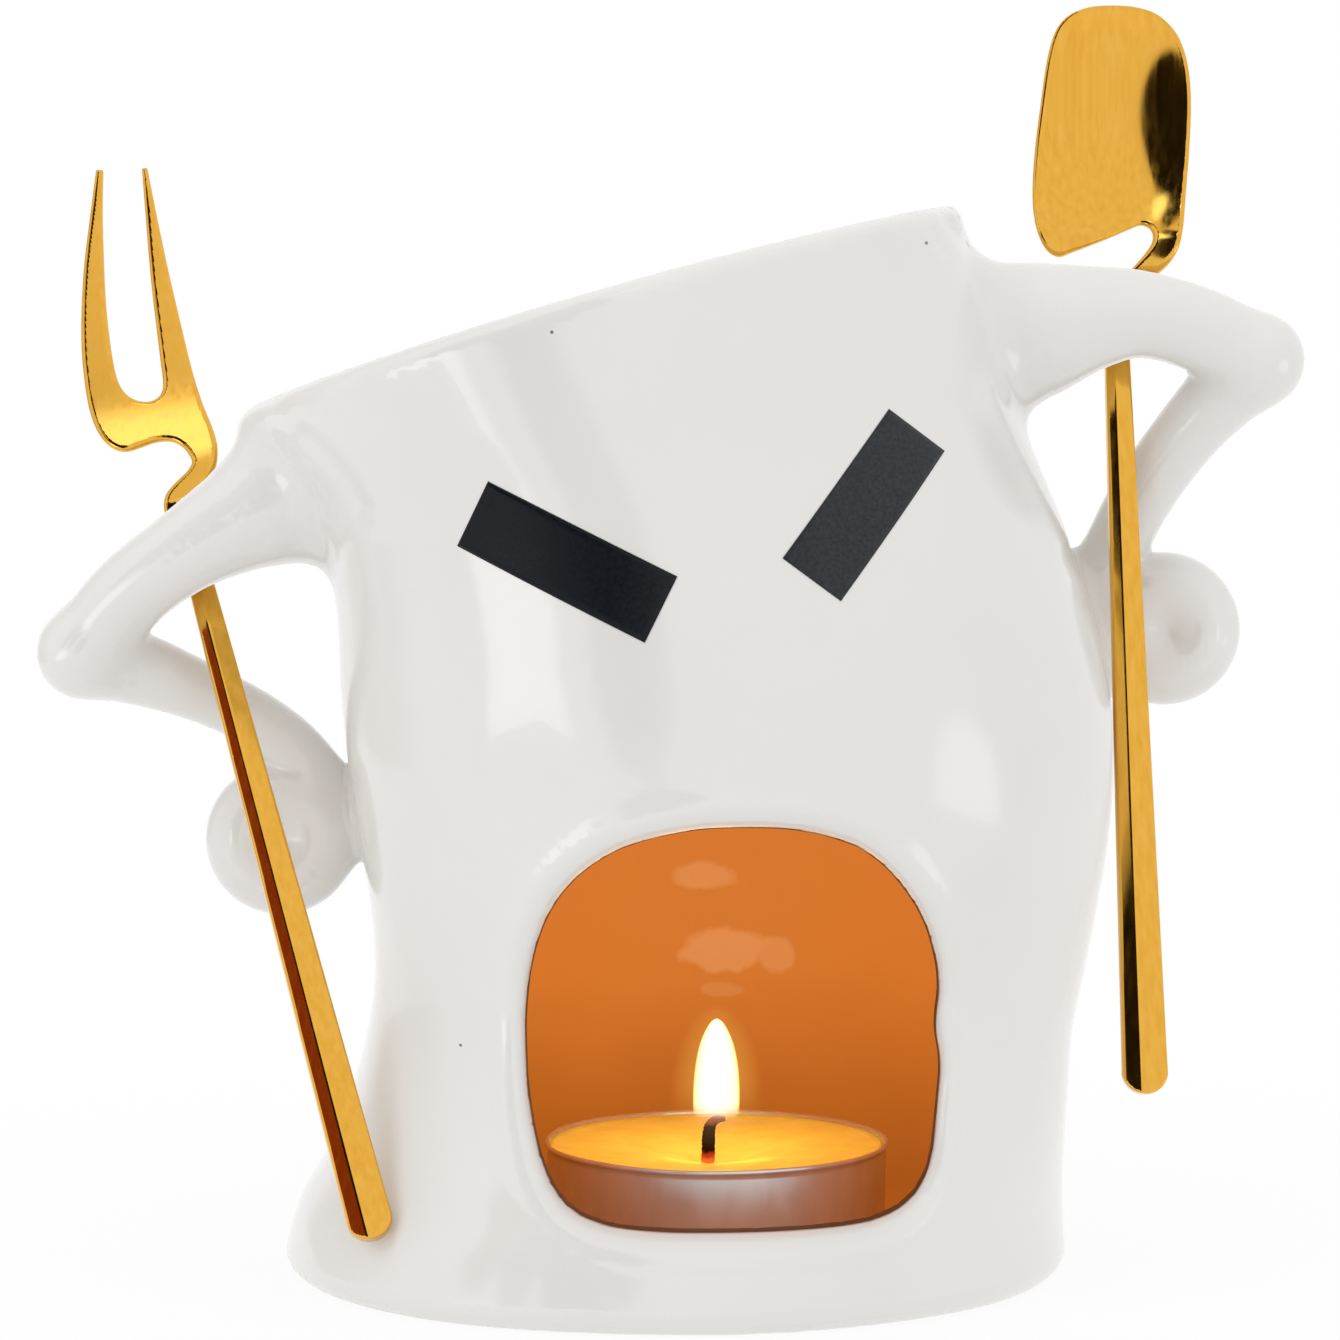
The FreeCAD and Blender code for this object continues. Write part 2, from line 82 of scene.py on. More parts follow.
def smooth_line(points, closed, count):
    """Many places on a smooth line through points; every column is carried along."""
    points = np.array(points, float)
    if closed:
        knots = np.vstack([points[-1:], points, points[:2]])
    else:
        knots = np.vstack([2 * points[0] - points[1], points, 2 * points[-1] - points[-2]])
    spans = len(knots) - 3
    places = np.linspace(0.0, spans, count, endpoint=not closed)
    k = np.minimum(places.astype(int), spans - 1)
    t = (places - k)[:, None]
    a, b, c, d = knots[k], knots[k + 1], knots[k + 2], knots[k + 3]
    return 0.5 * (2 * b + (c - a) * t + (2 * a - 5 * b + 4 * c - d) * t**2 + (3 * b - a - 3 * c + d) * t**3)


def body_profile(z):
    """Left side, right side and half depth of the body at a height, smooth between the stations."""
    heights = BODY_STATIONS[:, 0]
    slopes = np.empty((len(heights), 3))
    slopes[1:-1] = (BODY_STATIONS[2:, 1:] - BODY_STATIONS[:-2, 1:]) / (heights[2:] - heights[:-2])[:, None]
    slopes[0] = (BODY_STATIONS[1, 1:] - BODY_STATIONS[0, 1:]) / (heights[1] - heights[0])
    slopes[-1] = (BODY_STATIONS[-1, 1:] - BODY_STATIONS[-2, 1:]) / (heights[-1] - heights[-2])
    k = np.clip(np.searchsorted(heights, z, side="right") - 1, 0, len(heights) - 2)
    span = (heights[k + 1] - heights[k])[:, None]
    t = ((z - heights[k]) / span[:, 0])[:, None]
    start = BODY_STATIONS[k, 1:]
    rise = BODY_STATIONS[k + 1, 1:] - start
    bend = t * (1 - t) * ((slopes[k] * span - rise) * (1 - t) - (slopes[k + 1] * span - rise) * t)
    return start + rise * t + bend


PROFILE_Z = np.linspace(0.0, BODY_STATIONS[-1, 0], 505)
PROFILE = body_profile(PROFILE_Z)
PROFILE_SLOPE = np.gradient(PROFILE, PROFILE_Z, axis=0)


def body_distance(p):
    """Distance from the outside of the body's wall, with no rim and no foot."""
    x, y, z = p[:, 0], p[:, 1], p[:, 2]
    left, right, depth = (np.interp(z, PROFILE_Z, PROFILE[:, k]) for k in range(3))
    left_slope, right_slope, depth_slope = (np.interp(z, PROFILE_Z, PROFILE_SLOPE[:, k]) for k in range(3))
    half = (right - left) / 2
    u = (x - (left + right) / 2) / half
    v = y / depth
    power_u = np.abs(u) ** (SQUARENESS - 1)
    power_v = np.abs(v) ** (SQUARENESS - 1)
    total = np.maximum(power_u * np.abs(u) + power_v * np.abs(v), 1e-9)
    size = total ** (1 / SQUARENESS)
    along_u = size / total * power_u * np.sign(u)
    along_v = size / total * power_v * np.sign(v)
    up = along_u * ((left_slope + right_slope) / 2 + u * (right_slope - left_slope) / 2) / half
    up = up + along_v * v * depth_slope / depth
    steepness = np.sqrt((along_u / half) ** 2 + (along_v / depth) ** 2 + up**2)
    return (size - 1) / np.maximum(steepness, 1e-6)


def round_join(a, b, radius):
    """Union of two forms with a hollow of about that radius where they meet."""
    near = np.maximum(radius - np.abs(a - b), 0) / radius
    return np.minimum(a, b) - near**2 * radius / 4


def round_cut(a, b, radius):
    """Overlap of two forms with its edge rounded to that radius."""
    corner = np.hypot(np.maximum(a + radius, 0), np.maximum(b + radius, 0)) - radius
    return np.where((a > -radius) & (b > -radius), corner, np.maximum(a, b))


FAR_AWAY = 1e3


def line_distance(p, line):
    """Distance of points from a line; the last column of the line is its thickness at each place."""
    best = np.full(len(p), FAR_AWAY)
    for start, end in zip(line[:-1], line[1:]):
        along = end[:-1] - start[:-1]
        t = np.clip((p - start[:-1]) @ along / max(along @ along, 1e-9), 0, 1)
        away = np.linalg.norm(p - start[:-1] - t[:, None] * along, axis=1)
        best = np.minimum(best, away - start[-1] - t * (end[-1] - start[-1]))
    return best


def only_near(p, low, high, work):
    """Works out a distance only inside a box; elsewhere a point is simply far away."""
    found = np.full(len(p), FAR_AWAY)
    near = np.all((p > low) & (p < high), axis=1)
    found[near] = work(p[near])
    return found


# Each arm is a tapered upper arm, an elbow, a forearm and a hand that is rolled up like a scroll.
# Points are X, Y, Z and radius.
ARMS = (
    {
        "upper": [(-25, -1.5, 88, 7.7), (-33.5, -2.4, 87.5, 8.4), (-41.8, -3.7, 86.0, 7.5),
                  (-47.8, -4.5, 83.2, 5.7), (-53.8, -4.6, 79.7, 4.6), (-59.9, -3, 75.1, 4.4),
                  (-65.3, -0.4, 68.4, 4.7)],
        "fore": [(-65.3, -0.4, 68.4, 4.7), (-58.5, 2.2, 66.0, 3.9), (-52.4, 4.0, 63.4, 3.3),
                 (-46.5, 5.4, 60.2, 3.2), (-41.6, 6.2, 55.6, 3.4), (-39.6, 6.4, 49.6, 3.7)],
        "hand": (-44.0, 6.0, 46.8),
        "dimple": (1.8, 1.9),
        "turn": 1,
    },
    {
        "upper": [(20, -1.5, 101.5, 7.8), (29, -2.4, 102.2, 8.6), (37.6, -3.4, 103.5, 8.0),
                  (45.4, -3.9, 105.3, 5.9), (51.6, -3.8, 105.9, 4.8), (58.4, -2.4, 104.2, 4.6),
                  (65.0, -0.4, 100.8, 4.8)],
        "fore": [(65.0, -0.4, 100.8, 4.8), (58.9, 2.4, 94.1, 3.9), (53.9, 4.2, 87.2, 3.6),
                 (50.6, 5.4, 80.8, 3.5), (49.6, 6.2, 76.0, 3.6), (50.6, 6.4, 70.6, 3.8)],
        "hand": (55.6, 6.0, 70.6),
        "dimple": (0.8, 0.4),
        "turn": -1,
    },
)
ARM_PLACES = 36
ARM_REACH = 16.0
ELBOW_FILLET = 2.0
WRIST_FILLET = 1.0
HAND_RADIUS = 8.6
HAND_CURL = 4.1
HAND_HUB = 3.0
HUB_FILLET = 2.2
SPIRAL_START = 0.28
SPIRAL_RADIUS = 7.6
SPIRAL_PITCH = 3.6
GROOVE_DEPTH = 0.30
GROOVE_WIDTH = 1.25
DIMPLE_DEPTH = 0.28
DIMPLE_SPREAD = 8.0


def hand_distance(p, arm):
    """A roll with a rounded edge and a shallow dimple, and the soft groove of its spiral on both faces."""
    q = p - arm["hand"]
    ring = HAND_RADIUS - HAND_CURL
    away = np.hypot(q[:, 0], q[:, 2])
    roll = np.hypot(away - ring, q[:, 1]) - HAND_CURL
    hub = np.maximum(np.abs(q[:, 1]) - HAND_HUB, away - ring)
    solid = round_join(roll, hub, HUB_FILLET)
    turn = np.arctan2(q[:, 2], arm["turn"] * q[:, 0]) / (2 * math.pi)
    share = np.mod(turn - SPIRAL_START, 1.0)
    spiral = SPIRAL_RADIUS - SPIRAL_PITCH * share
    fade = np.clip(share / 0.16, 0, 1) * np.clip((1 - share) / 0.2, 0, 1)
    groove = np.exp(-(((away - spiral) / GROOVE_WIDTH) ** 2)) * fade
    from_dimple = (q[:, 0] - arm["dimple"][0]) ** 2 + (q[:, 2] - arm["dimple"][1]) ** 2
    dimple = np.exp(-from_dimple / DIMPLE_SPREAD)
    return solid + GROOVE_DEPTH * groove + DIMPLE_DEPTH * dimple


def arm_distance(p, arm):
    """Upper arm, elbow, forearm and hand of one side."""
    middle = np.array(arm["upper"] + arm["fore"])[:, :3]

    def limbs(q):
        upper = line_distance(q, smooth_line(arm["upper"], False, ARM_PLACES))
        fore = line_distance(q, smooth_line(arm["fore"], False, ARM_PLACES))
        return round_join(round_join(upper, fore, ELBOW_FILLET), hand_distance(q, arm), WRIST_FILLET)

    return only_near(p, middle.min(0) - ARM_REACH, middle.max(0) + ARM_REACH, limbs)


# Soft folds that the casting and the glaze leave on the front: X and Z of a line, depth and width.
FOLDS = (
    ([(-38.6, 93.0), (-36.6, 91.2), (-34.2, 88.4), (-32.6, 85.4)], 0.45, 1.2),
    ([(-38.2, 85.6), (-37.6, 82.6), (-36.9, 79.6)], 0.30, 1.4),
    ([(34.8, 98.2), (37.4, 93.4), (40.2, 87.8), (42.6, 82.0)], -0.50, 1.8),
    ([(31.8, 96.6), (35.0, 91.8), (38.0, 86.4)], 0.25, 2.2),
    ([(28.9, 117.6), (30.2, 115.2), (32.6, 113.2)], 0.36, 0.85),
    ([(31.9, 117.2), (33.2, 114.6), (36.4, 112.4)], 0.34, 0.8),
    ([(27.0, 116.4), (29.4, 112.8)], 0.22, 1.1),
)
# Small swellings: X, Y, Z, height and size. Two make the corner of the rim over the left shoulder, and
# one stands at the rim over the right shoulder.
SWELLINGS = (
    (-46.2, -6.0, 94.6, 1.5, 3.4),
    (-46.2, 6.0, 94.6, 1.5, 3.4),
    (31.0, -7.0, 117.4, 0.5, 3.2),
)
# Long waves of the whole wall: how often they come along X, Y and Z, and where they start.
WAVES = ((0.11, 0.07, 0.05, 0.4), (-0.06, 0.12, 0.09, 2.1), (0.05, -0.1, 0.15, 4.0), (0.19, 0.05, -0.12, 5.2))
WAVE_HEIGHT = 0.035
FOLD_MARGIN = 6


def unevenness(p):
    """How far the surface stands in from the true form: waves, folds and swellings of the casting."""
    wave = np.zeros(len(p))
    for across, deep, up, shift in WAVES:
        wave += np.sin(p[:, 0] * across + p[:, 1] * deep + p[:, 2] * up + shift)
    off = WAVE_HEIGHT * wave
    front = np.clip(-p[:, 1] / 6.0, 0, 1)
    for line, depth, width in FOLDS:
        places = smooth_line([(x, z, 0.0) for x, z in line], False, 14)
        low, high = places.min(0)[:2] - FOLD_MARGIN, places.max(0)[:2] + FOLD_MARGIN
        away = only_near(p[:, [0, 2]], low, high, lambda q: line_distance(q, places))
        off += depth * front * np.exp(-((away / width) ** 2))
    for x, y, z, height, size in SWELLINGS:
        away = (p[:, 0] - x) ** 2 + (p[:, 1] - y) ** 2 / 4 + (p[:, 2] - z) ** 2
        off -= height * np.exp(-away / size**2)
    return off


MOUTH_OUTLINE = [
    (6.7, 52.8), (3.1, 52.6), (-1.0, 51.8), (-5.2, 50.4), (-8.6, 48.2), (-10.9, 45.9), (-12.4, 43.6),
    (-13.4, 41.4), (-14.1, 39.2), (-14.6, 36.9), (-14.9, 34.6), (-15.1, 32.0), (-15.1, 29.4),
    (-15.0, 26.8), (-14.8, 24.4), (-14.5, 22.3), (-14.1, 20.3), (-13.6, 18.3), (-12.9, 16.4),
    (-11.8, 14.4), (-10.1, 12.7), (-7.3, 11.5), (-4.1, 11.0), (-0.5, 10.75), (3.1, 10.7), (9.4, 10.7),
    (14.6, 10.8), (18.0, 10.95), (21.2, 11.3), (23.9, 12.2), (25.8, 13.7), (27.0, 15.7), (27.55, 17.8),
    (27.85, 20.0), (28.05, 22.1), (28.25, 24.3), (28.4, 26.4), (28.25, 28.5), (27.85, 30.6), (27.9, 32.7),
    (28.15, 34.9), (28.0, 37.1), (27.55, 39.3), (26.9, 41.5), (25.9, 43.7), (24.5, 45.9), (22.7, 48.1),
    (20.2, 50.2), (17.6, 51.4), (14.4, 52.3), (10.9, 52.75),
]
MOUTH = smooth_line(MOUTH_OUTLINE, True, 153)
MOUTH_MARGIN = 8
BEFORE_THE_FRONT = -50.0


def outline_distance(q, outline):
    """Distance from a closed flat outline, negative inside."""
    best = np.full(len(q), 1e6)
    inside = np.zeros(len(q), bool)
    for a, b in zip(outline, np.roll(outline, -1, axis=0)):
        edge = b - a
        t = np.clip((q - a) @ edge / max(edge @ edge, 1e-12), 0, 1)
        away = q - a - t[:, None] * edge
        best = np.minimum(best, (away**2).sum(1))
        crosses = (a[1] > q[:, 1]) != (b[1] > q[:, 1])
        side = (b[0] - a[0]) * (q[:, 1] - a[1]) / np.where(crosses, b[1] - a[1], 1.0) + a[0]
        inside ^= crosses & (q[:, 0] < side)
    return np.where(inside, -1, 1) * np.sqrt(best)


def mouth_distance(p):
    """Distance from the mouth's outline, in the front half only."""
    left, bottom = MOUTH.min(0) - MOUTH_MARGIN
    right, top = MOUTH.max(0) + MOUTH_MARGIN
    low = np.array([left, BEFORE_THE_FRONT, bottom])
    high = np.array([right, -WALL, top])
    return only_near(p, low, high, lambda q: outline_distance(q[:, [0, 2]], MOUTH))


ARM_FILLET = 4.2
# The lip's low bead: how high it stands, how far it lies from the mouth, and its width.
LIP_BEAD = (0.24, 2.7, 1.1)
INNER_EDGE = 0.8
RECESS_CORNER = 0.5


def mug_distance(p):
    """Distance from the surface of the mug."""
    wall = body_distance(p)
    z = p[:, 2]
    mouth = mouth_distance(p)
    solid = round_cut(wall, -z, FOOT_ROUND)
    for arm in ARMS:
        solid = round_join(solid, arm_distance(p, arm), ARM_FILLET)
    solid = solid + unevenness(p)
    solid = solid - LIP_BEAD[0] * np.exp(-(((mouth - LIP_BEAD[1]) / LIP_BEAD[2]) ** 2))
    solid = round_cut(solid, -mouth, LIP_ROUND)
    inside = wall + WALL
    bowl = round_cut(inside, BOWL_FLOOR - z, BOWL_CORNER)
    chamber = round_cut(inside, CHAMBER_FLOOR - z, CHAMBER_CORNER)
    chamber = round_cut(chamber, z - CHAMBER_CEILING, CHAMBER_CORNER)
    recess = round_cut(wall + FOOT_RING, z - FOOT_RECESS, RECESS_CORNER)
    solid = round_cut(solid, -chamber, INNER_EDGE)
    solid = round_cut(solid, -recess, INNER_EDGE)
    axis_x = RIM_DOME * math.sin(RIM_SLOPE)
    axis_z = RIM_HEIGHT - RIM_DOME * math.cos(RIM_SLOPE)
    above = np.hypot(p[:, 0] - axis_x, z - axis_z) - RIM_DOME
    solid = round_cut(solid, above, RIM_ROUND)
    return round_cut(solid, -bowl, RIM_ROUND)


def value_and_slope(distance, points, step):
    """Distance at the points and its slope, measured over a small part of a cell."""
    small = 0.15 * step
    slope = np.empty_like(points)
    for axis in range(3):
        off = np.zeros(3)
        off[axis] = small
        slope[:, axis] = (distance(points + off) - distance(points - off)) / (2 * small)
    return distance(points), slope


def surface_from(distance, low, high, step, relax):
    """Quads over the surface where a distance is zero, with their corners moved exactly onto it."""
    counts = [int(math.ceil((b - a) / step)) + 1 for a, b in zip(low, high)]
    axes = [a + step * np.arange(n) for a, n in zip(low, counts)]
    field = np.empty(counts)
    for k, x in enumerate(axes[0]):
        y, z = np.meshgrid(axes[1], axes[2], indexing="ij")
        field[k] = distance(np.stack([np.full(y.size, x), y.ravel(), z.ravel()], 1)).reshape(y.shape)
    inside = field < 0
    cells = tuple(n - 1 for n in counts)
    total = np.zeros(cells, int)
    for i, j, k in np.ndindex(2, 2, 2):
        total += inside[i:i + cells[0], j:j + cells[1], k:k + cells[2]]
    used = (total > 0) & (total < 8)
    number = np.full(cells, -1)
    number[used] = np.arange(used.sum())
    at = np.argwhere(used)
    place = np.zeros((len(at), 3))
    hits = np.zeros(len(at))
    for axis in range(3):
        others = [k for k in range(3) if k != axis]
        for i, j in np.ndindex(2, 2):
            start = at.copy()
            start[:, others[0]] += i
            start[:, others[1]] += j
            end = start.copy()
            end[:, axis] += 1
            a = field[tuple(start.T)]
            b = field[tuple(end.T)]
            cut = (a < 0) != (b < 0)
            t = np.where(cut, a / np.where(cut, a - b, 1.0), 0.0)
            place[cut] += start[cut]
            place[cut, axis] += t[cut]
            hits[cut] += 1
    points = np.array(low) + step * place / hits[:, None]
    quads = []
    for axis in range(3):
        one, two = (axis + 1) % 3, (axis + 2) % 3
        first = [slice(None)] * 3
        second = [slice(None)] * 3
        first[axis], second[axis] = slice(0, -1), slice(1, None)
        edge = np.argwhere(inside[tuple(first)] != inside[tuple(second)])
        edge = edge[(edge[:, one] > 0) & (edge[:, two] > 0)]
        edge = edge[(edge[:, one] < counts[one] - 1) & (edge[:, two] < counts[two] - 1)]
        ring = []
        for i, j in ((1, 1), (0, 1), (0, 0), (1, 0)):
            cell = edge.copy()
            cell[:, one] -= i
            cell[:, two] -= j
            ring.append(number[tuple(cell.T)])
        ring = np.stack(ring, 1)
        quads.append(np.where(inside[tuple(edge.T)][:, None], ring, ring[:, ::-1]))
    quads = np.vstack(quads)
    pairs = np.vstack([quads[:, [0, 1]], quads[:, [1, 2]], quads[:, [2, 3]], quads[:, [3, 0]]])
    for k in range(relax + 1):
        if k:
            middle = np.zeros_like(points)
            share = np.zeros(len(points))
            np.add.at(middle, pairs[:, 0], points[pairs[:, 1]])
            np.add.at(share, pairs[:, 0], 1)
            points = 0.5 * points + 0.5 * middle / share[:, None]
        for _ in range(2):
            value, slope = value_and_slope(distance, points, step)
            move = value[:, None] * slope / np.maximum((slope**2).sum(1), 0.2)[:, None]
            points = points - np.clip(move, -step, step)
    slope = value_and_slope(distance, points, step)[1]
    return points, quads, slope / np.linalg.norm(slope, axis=1)[:, None]


def piece_from(name, points, faces, normals=None):
    """A smooth mesh object of points in millimetres, with its own normals if it has them."""
    mesh = bpy.data.meshes.new(name)
    mesh.from_pydata((np.asarray(points) * MILLIMETRE).tolist(), [], [list(face) for face in faces])
    mesh.shade_smooth()
    if normals is not None:
        mesh.normals_split_custom_set_from_vertices(np.asarray(normals).tolist())
    piece = bpy.data.objects.new(name, mesh)
    bpy.context.scene.collection.objects.link(piece)
    return piece


MUG_LOW = (-72.5, -44.5, -2.5)
MUG_HIGH = (72.5, 44.5, 121.5)
MUG_STEP = 1.0
mug_points, mug_quads, mug_normals = surface_from(mug_distance, MUG_LOW, MUG_HIGH, MUG_STEP, 3)
mug = piece_from("mug_casting", mug_points, mug_quads, mug_normals)

# Where the candle's light is painted onto the clay, up to the middle of the partition: under 0 on the
# outside, rising through the thickness of the mouth's edge, and 1 on the chamber's walls.
LIT_FROM = 1.25
LIT_DEPTH = WALL - 1.35
LIT_TOP = (CHAMBER_CEILING + BOWL_FLOOR) / 2
clay_depth = np.clip((-body_distance(mug_points) - LIT_FROM) / LIT_DEPTH, -1.0, 1.2)
in_chamber = (mug_points[:, 2] > CHAMBER_FLOOR - 1.0) & (mug_points[:, 2] < LIT_TOP)
lit = mug.data.attributes.new("candlelit", "FLOAT", "POINT")
lit.data.foreach_set("value", np.where(in_chamber, clay_depth, -1.0).astype(np.float32))


def fill(tree, node, inputs):
    """Fills a node's sockets from pairs of a socket and a value or another node's output."""
    for socket, value in inputs:
        if isinstance(value, bpy.types.NodeSocket):
            tree.links.new(value, node.inputs[socket])
        else:
            node.inputs[socket].default_value = value


def node_in(tree, kind, inputs=(), **settings):
    """Adds a shader node with its settings and its sockets."""
    node = tree.nodes.new(kind)
    for name, value in settings.items():
        setattr(node, name, value)
    fill(tree, node, inputs)
    return node


def maths(tree, operation, *values):
    """The result of a maths node over its values."""
    return node_in(tree, "ShaderNodeMath", enumerate(values), operation=operation).outputs[0]


def vector_maths(tree, operation, *values):
    """The result of a vector maths node; a distance or a length comes out as a plain value."""
    node = node_in(tree, "ShaderNodeVectorMath", enumerate(values), operation=operation)
    return node.outputs["Value" if operation in ("DISTANCE", "LENGTH") else "Vector"]


def ranged(tree, value, low, high, start=0.0, end=1.0):
    """Goes from start to end while a value goes from low to high."""
    return node_in(tree, "ShaderNodeMapRange", enumerate((value, low, high, start, end))).outputs[0]


def mixed(tree, share, first, second, blend="MIX"):
    """A colour between two others."""
    return node_in(tree, "ShaderNodeMix", [(0, share), (6, first), (7, second)],
                   data_type="RGBA", blend_type=blend).outputs[2]


def noise_over(tree, place, scale, detail):
    """Soft noise over a place, from 0 to 1."""
    node = node_in(tree, "ShaderNodeTexNoise", [("Vector", place), ("Scale", scale), ("Detail", detail)])
    return node.outputs["Fac"]


def part_of(tree, vector, axis):
    """One part of a vector."""
    return node_in(tree, "ShaderNodeSeparateXYZ", [("Vector", vector)]).outputs[axis]


def place_in(tree):
    """Where a point of the piece is, in metres."""
    return node_in(tree, "ShaderNodeTexCoord").outputs["Object"]


def looked_at_in(tree):
    """1 for what the camera and the mirrors look at, 0 for light that is only thrown on."""
    path = node_in(tree, "ShaderNodeLightPath").outputs
    return maths(tree, "MAXIMUM", path["Is Camera Ray"], path["Is Glossy Ray"])


def colours_over(tree, source, stops):
    """A ramp of (place, colour) stops over a value."""
    node = tree.nodes.new("ShaderNodeValToRGB")
    elements = node.color_ramp.elements
    elements[0].position, elements[0].color = stops[0][0], (*stops[0][1], 1)
    elements[1].position, elements[1].color = stops[-1][0], (*stops[-1][1], 1)
    for position, colour in stops[1:-1]:
        elements.new(position).color = (*colour, 1)
    tree.links.new(source, node.inputs["Fac"])
    return node.outputs["Color"]


def make_grain():
    """Node group for every piece's surface: a mottled colour, an uneven roughness and a height."""
    group = bpy.data.node_groups.new("grain", "ShaderNodeTree")
    taken = {"Scale": "Vector", "Dark": "Color", "Light": "Color", "Smoothest": "Float", "Roughest": "Float"}
    returned = {"Color": "Color", "Roughness": "Float", "Height": "Float"}
    for side, sockets in (("INPUT", taken), ("OUTPUT", returned)):
        for name, kind in sockets.items():
            group.interface.new_socket(name=name, in_out=side, socket_type="NodeSocket" + kind)
    given = group.nodes.new("NodeGroupInput").outputs
    noise = noise_over(group, vector_maths(group, "MULTIPLY", place_in(group), given["Scale"]), 1.0, 4.0)
    mottle = ranged(group, noise, 0.3, 0.7)
    node_in(group, "NodeGroupOutput", [
        ("Color", mixed(group, mottle, given["Dark"], given["Light"])),
        ("Roughness", ranged(group, mottle, 0.0, 1.0, given["Smoothest"], given["Roughest"])),
        ("Height", noise),
    ])
    return group


grain = make_grain()


def new_material(name, scale, dark, light, roughness, bump):
    """A material over the grain group; bump is a strength and a height in millimetres."""
    material = bpy.data.materials.new(name)
    material.use_nodes = True
    tree = material.node_tree
    shader = tree.nodes["Principled BSDF"]
    skin = node_in(tree, "ShaderNodeGroup", node_tree=grain)
    fill(tree, skin, [("Scale", scale), ("Dark", (*dark, 1)), ("Light", (*light, 1)),
                      ("Smoothest", roughness[0]), ("Roughest", roughness[1])])
    raised = node_in(tree, "ShaderNodeBump", [("Height", skin.outputs["Height"]), ("Strength", bump[0]),
                                              ("Distance", bump[1] * MILLIMETRE)])
    fill(tree, shader, [("Base Color", skin.outputs["Color"]), ("Roughness", skin.outputs["Roughness"]),
                        ("Normal", raised.outputs["Normal"])])
    return material, tree, shader, skin


# The glaze is a warm white gloss with a few iron specks. The candle's light in the chamber is painted: an
# orange base colour and an orange glow, both darker towards the bottom. A thin brown line of painted shade
# marks the inner edge of the mouth. Specks are X, Z and radius.
SPECKS = ((-12.1, 104.0, 0.22), (27.2, 113.4, 0.24), (-22.2, 28.6, 0.20), (-31.5, 13.2, 0.16))
SPECK_BROWN = (0.20, 0.14, 0.10, 1)
# Painted shade: the thin brown line just inside the mouth's edge.
EDGE_SHADE_BROWN = (0.10, 0.035, 0.012, 1)
# Painted candle light: the chamber's orange base colour, darker towards the bottom.
LIT_CLAY = [(0.0, (0.20, 0.070, 0.020)), (0.5, (0.30, 0.13, 0.035)), (1.0, (0.34, 0.16, 0.045))]
CANDLE_GLOW = [(0.0, (0.26, 0.060, 0.006)), (0.3, (0.42, 0.108, 0.010)), (0.55, (0.54, 0.145, 0.017)),
               (1.0, (0.54, 0.152, 0.020))]
DARK = (0, 0, 0, 1)
# Painted reflections of the pale table in the glazed back wall, seen through the mouth, put in as glow: X, Z,
# half width, half height, strength.
MIRRORED = ((3.8, 39.0, 3.6, 1.7, 0.12), (6.4, 30.2, 4.6, 2.7, 0.14), (12.6, 29.6, 2.2, 2.2, 0.11),
            (6.2, 25.4, 2.6, 0.9, 0.07))
MIRRORED_TABLE = (1.0, 0.68, 0.34, 1)
glaze, tree, shader, skin = new_material(
    "white_glaze", (40.0, 40.0, 40.0), (0.790, 0.780, 0.757), (0.820, 0.808, 0.783),
    roughness=(0.12, 0.18), bump=(0.02, 0.2))
where = place_in(tree)
on_the_front = vector_maths(tree, "MULTIPLY", where, (1.0, 0.0, 1.0))
clean = 1.0
for x, z, radius in SPECKS:
    away = vector_maths(tree, "DISTANCE", on_the_front, (x * MILLIMETRE, 0.0, z * MILLIMETRE))
    clean = maths(tree, "MINIMUM", clean, ranged(tree, away, 0.6 * radius * MILLIMETRE, radius * MILLIMETRE))
specked = mixed(tree, clean, SPECK_BROWN, skin.outputs["Color"])

# The candlelit attribute masks the painted candle light and the painted shade at the mouth's edge.
candlelit = node_in(tree, "ShaderNodeAttribute", attribute_name="candlelit").outputs["Fac"]
past_the_edge = ranged(tree, candlelit, 0.01, 0.14)
on_the_wall = ranged(tree, candlelit, 0.80, 0.99)
level = ranged(tree, part_of(tree, where, "Z"), 0.003, 0.056)
level = maths(tree, "MULTIPLY_ADD", noise_over(tree, where, 55.0, 2.0), 0.20, level)
# Painted shade at the mouth's edge, then the painted candle-lit orange of the chamber's walls.
inside = mixed(tree, on_the_wall, EDGE_SHADE_BROWN, colours_over(tree, level, LIT_CLAY))
roughness = node_in(tree, "ShaderNodeMix", [(0, past_the_edge), (2, skin.outputs["Roughness"]), (3, 0.62)])

# Painted reflections: soft pale patches that glow on the chamber's back wall.
ripple = ranged(tree, noise_over(tree, where, 330.0, 3.0), 0.0, 1.0, -0.45, 0.45)
painted_reflections = 0.0
for x, z, wide, high, strength in MIRRORED:
    off = vector_maths(tree, "SUBTRACT", on_the_front, (x * MILLIMETRE, 0.0, z * MILLIMETRE))
    off = vector_maths(tree, "DIVIDE", off, (wide * MILLIMETRE, 1.0, high * MILLIMETRE))
    off = maths(tree, "ADD", vector_maths(tree, "LENGTH", off), ripple)
    painted_reflections = maths(tree, "MAXIMUM", painted_reflections, ranged(tree, off, 1.1, 0.85, 0.0, strength))
painted_reflections = maths(tree, "MULTIPLY", painted_reflections, on_the_wall)
# Painted candle light: the chamber's walls glow orange, darker towards the bottom.
glow = mixed(tree, on_the_wall, DARK, colours_over(tree, level, CANDLE_GLOW))
fill(tree, shader, [
    ("Base Color", mixed(tree, past_the_edge, specked, inside)),
    ("Roughness", roughness.outputs[0]),
    ("Emission Color", mixed(tree, painted_reflections, glow, MIRRORED_TABLE)),
    ("Emission Strength", ranged(tree, looked_at_in(tree), 0.0, 1.0, 0.15, 1.0)),
    ("Coat Weight", ranged(tree, past_the_edge, 0.0, 1.0, 0.60, 0.0)),
    ("Coat Roughness", 0.03),
])
mug.data.materials.append(glaze)
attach(mug, "root")
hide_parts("mug")

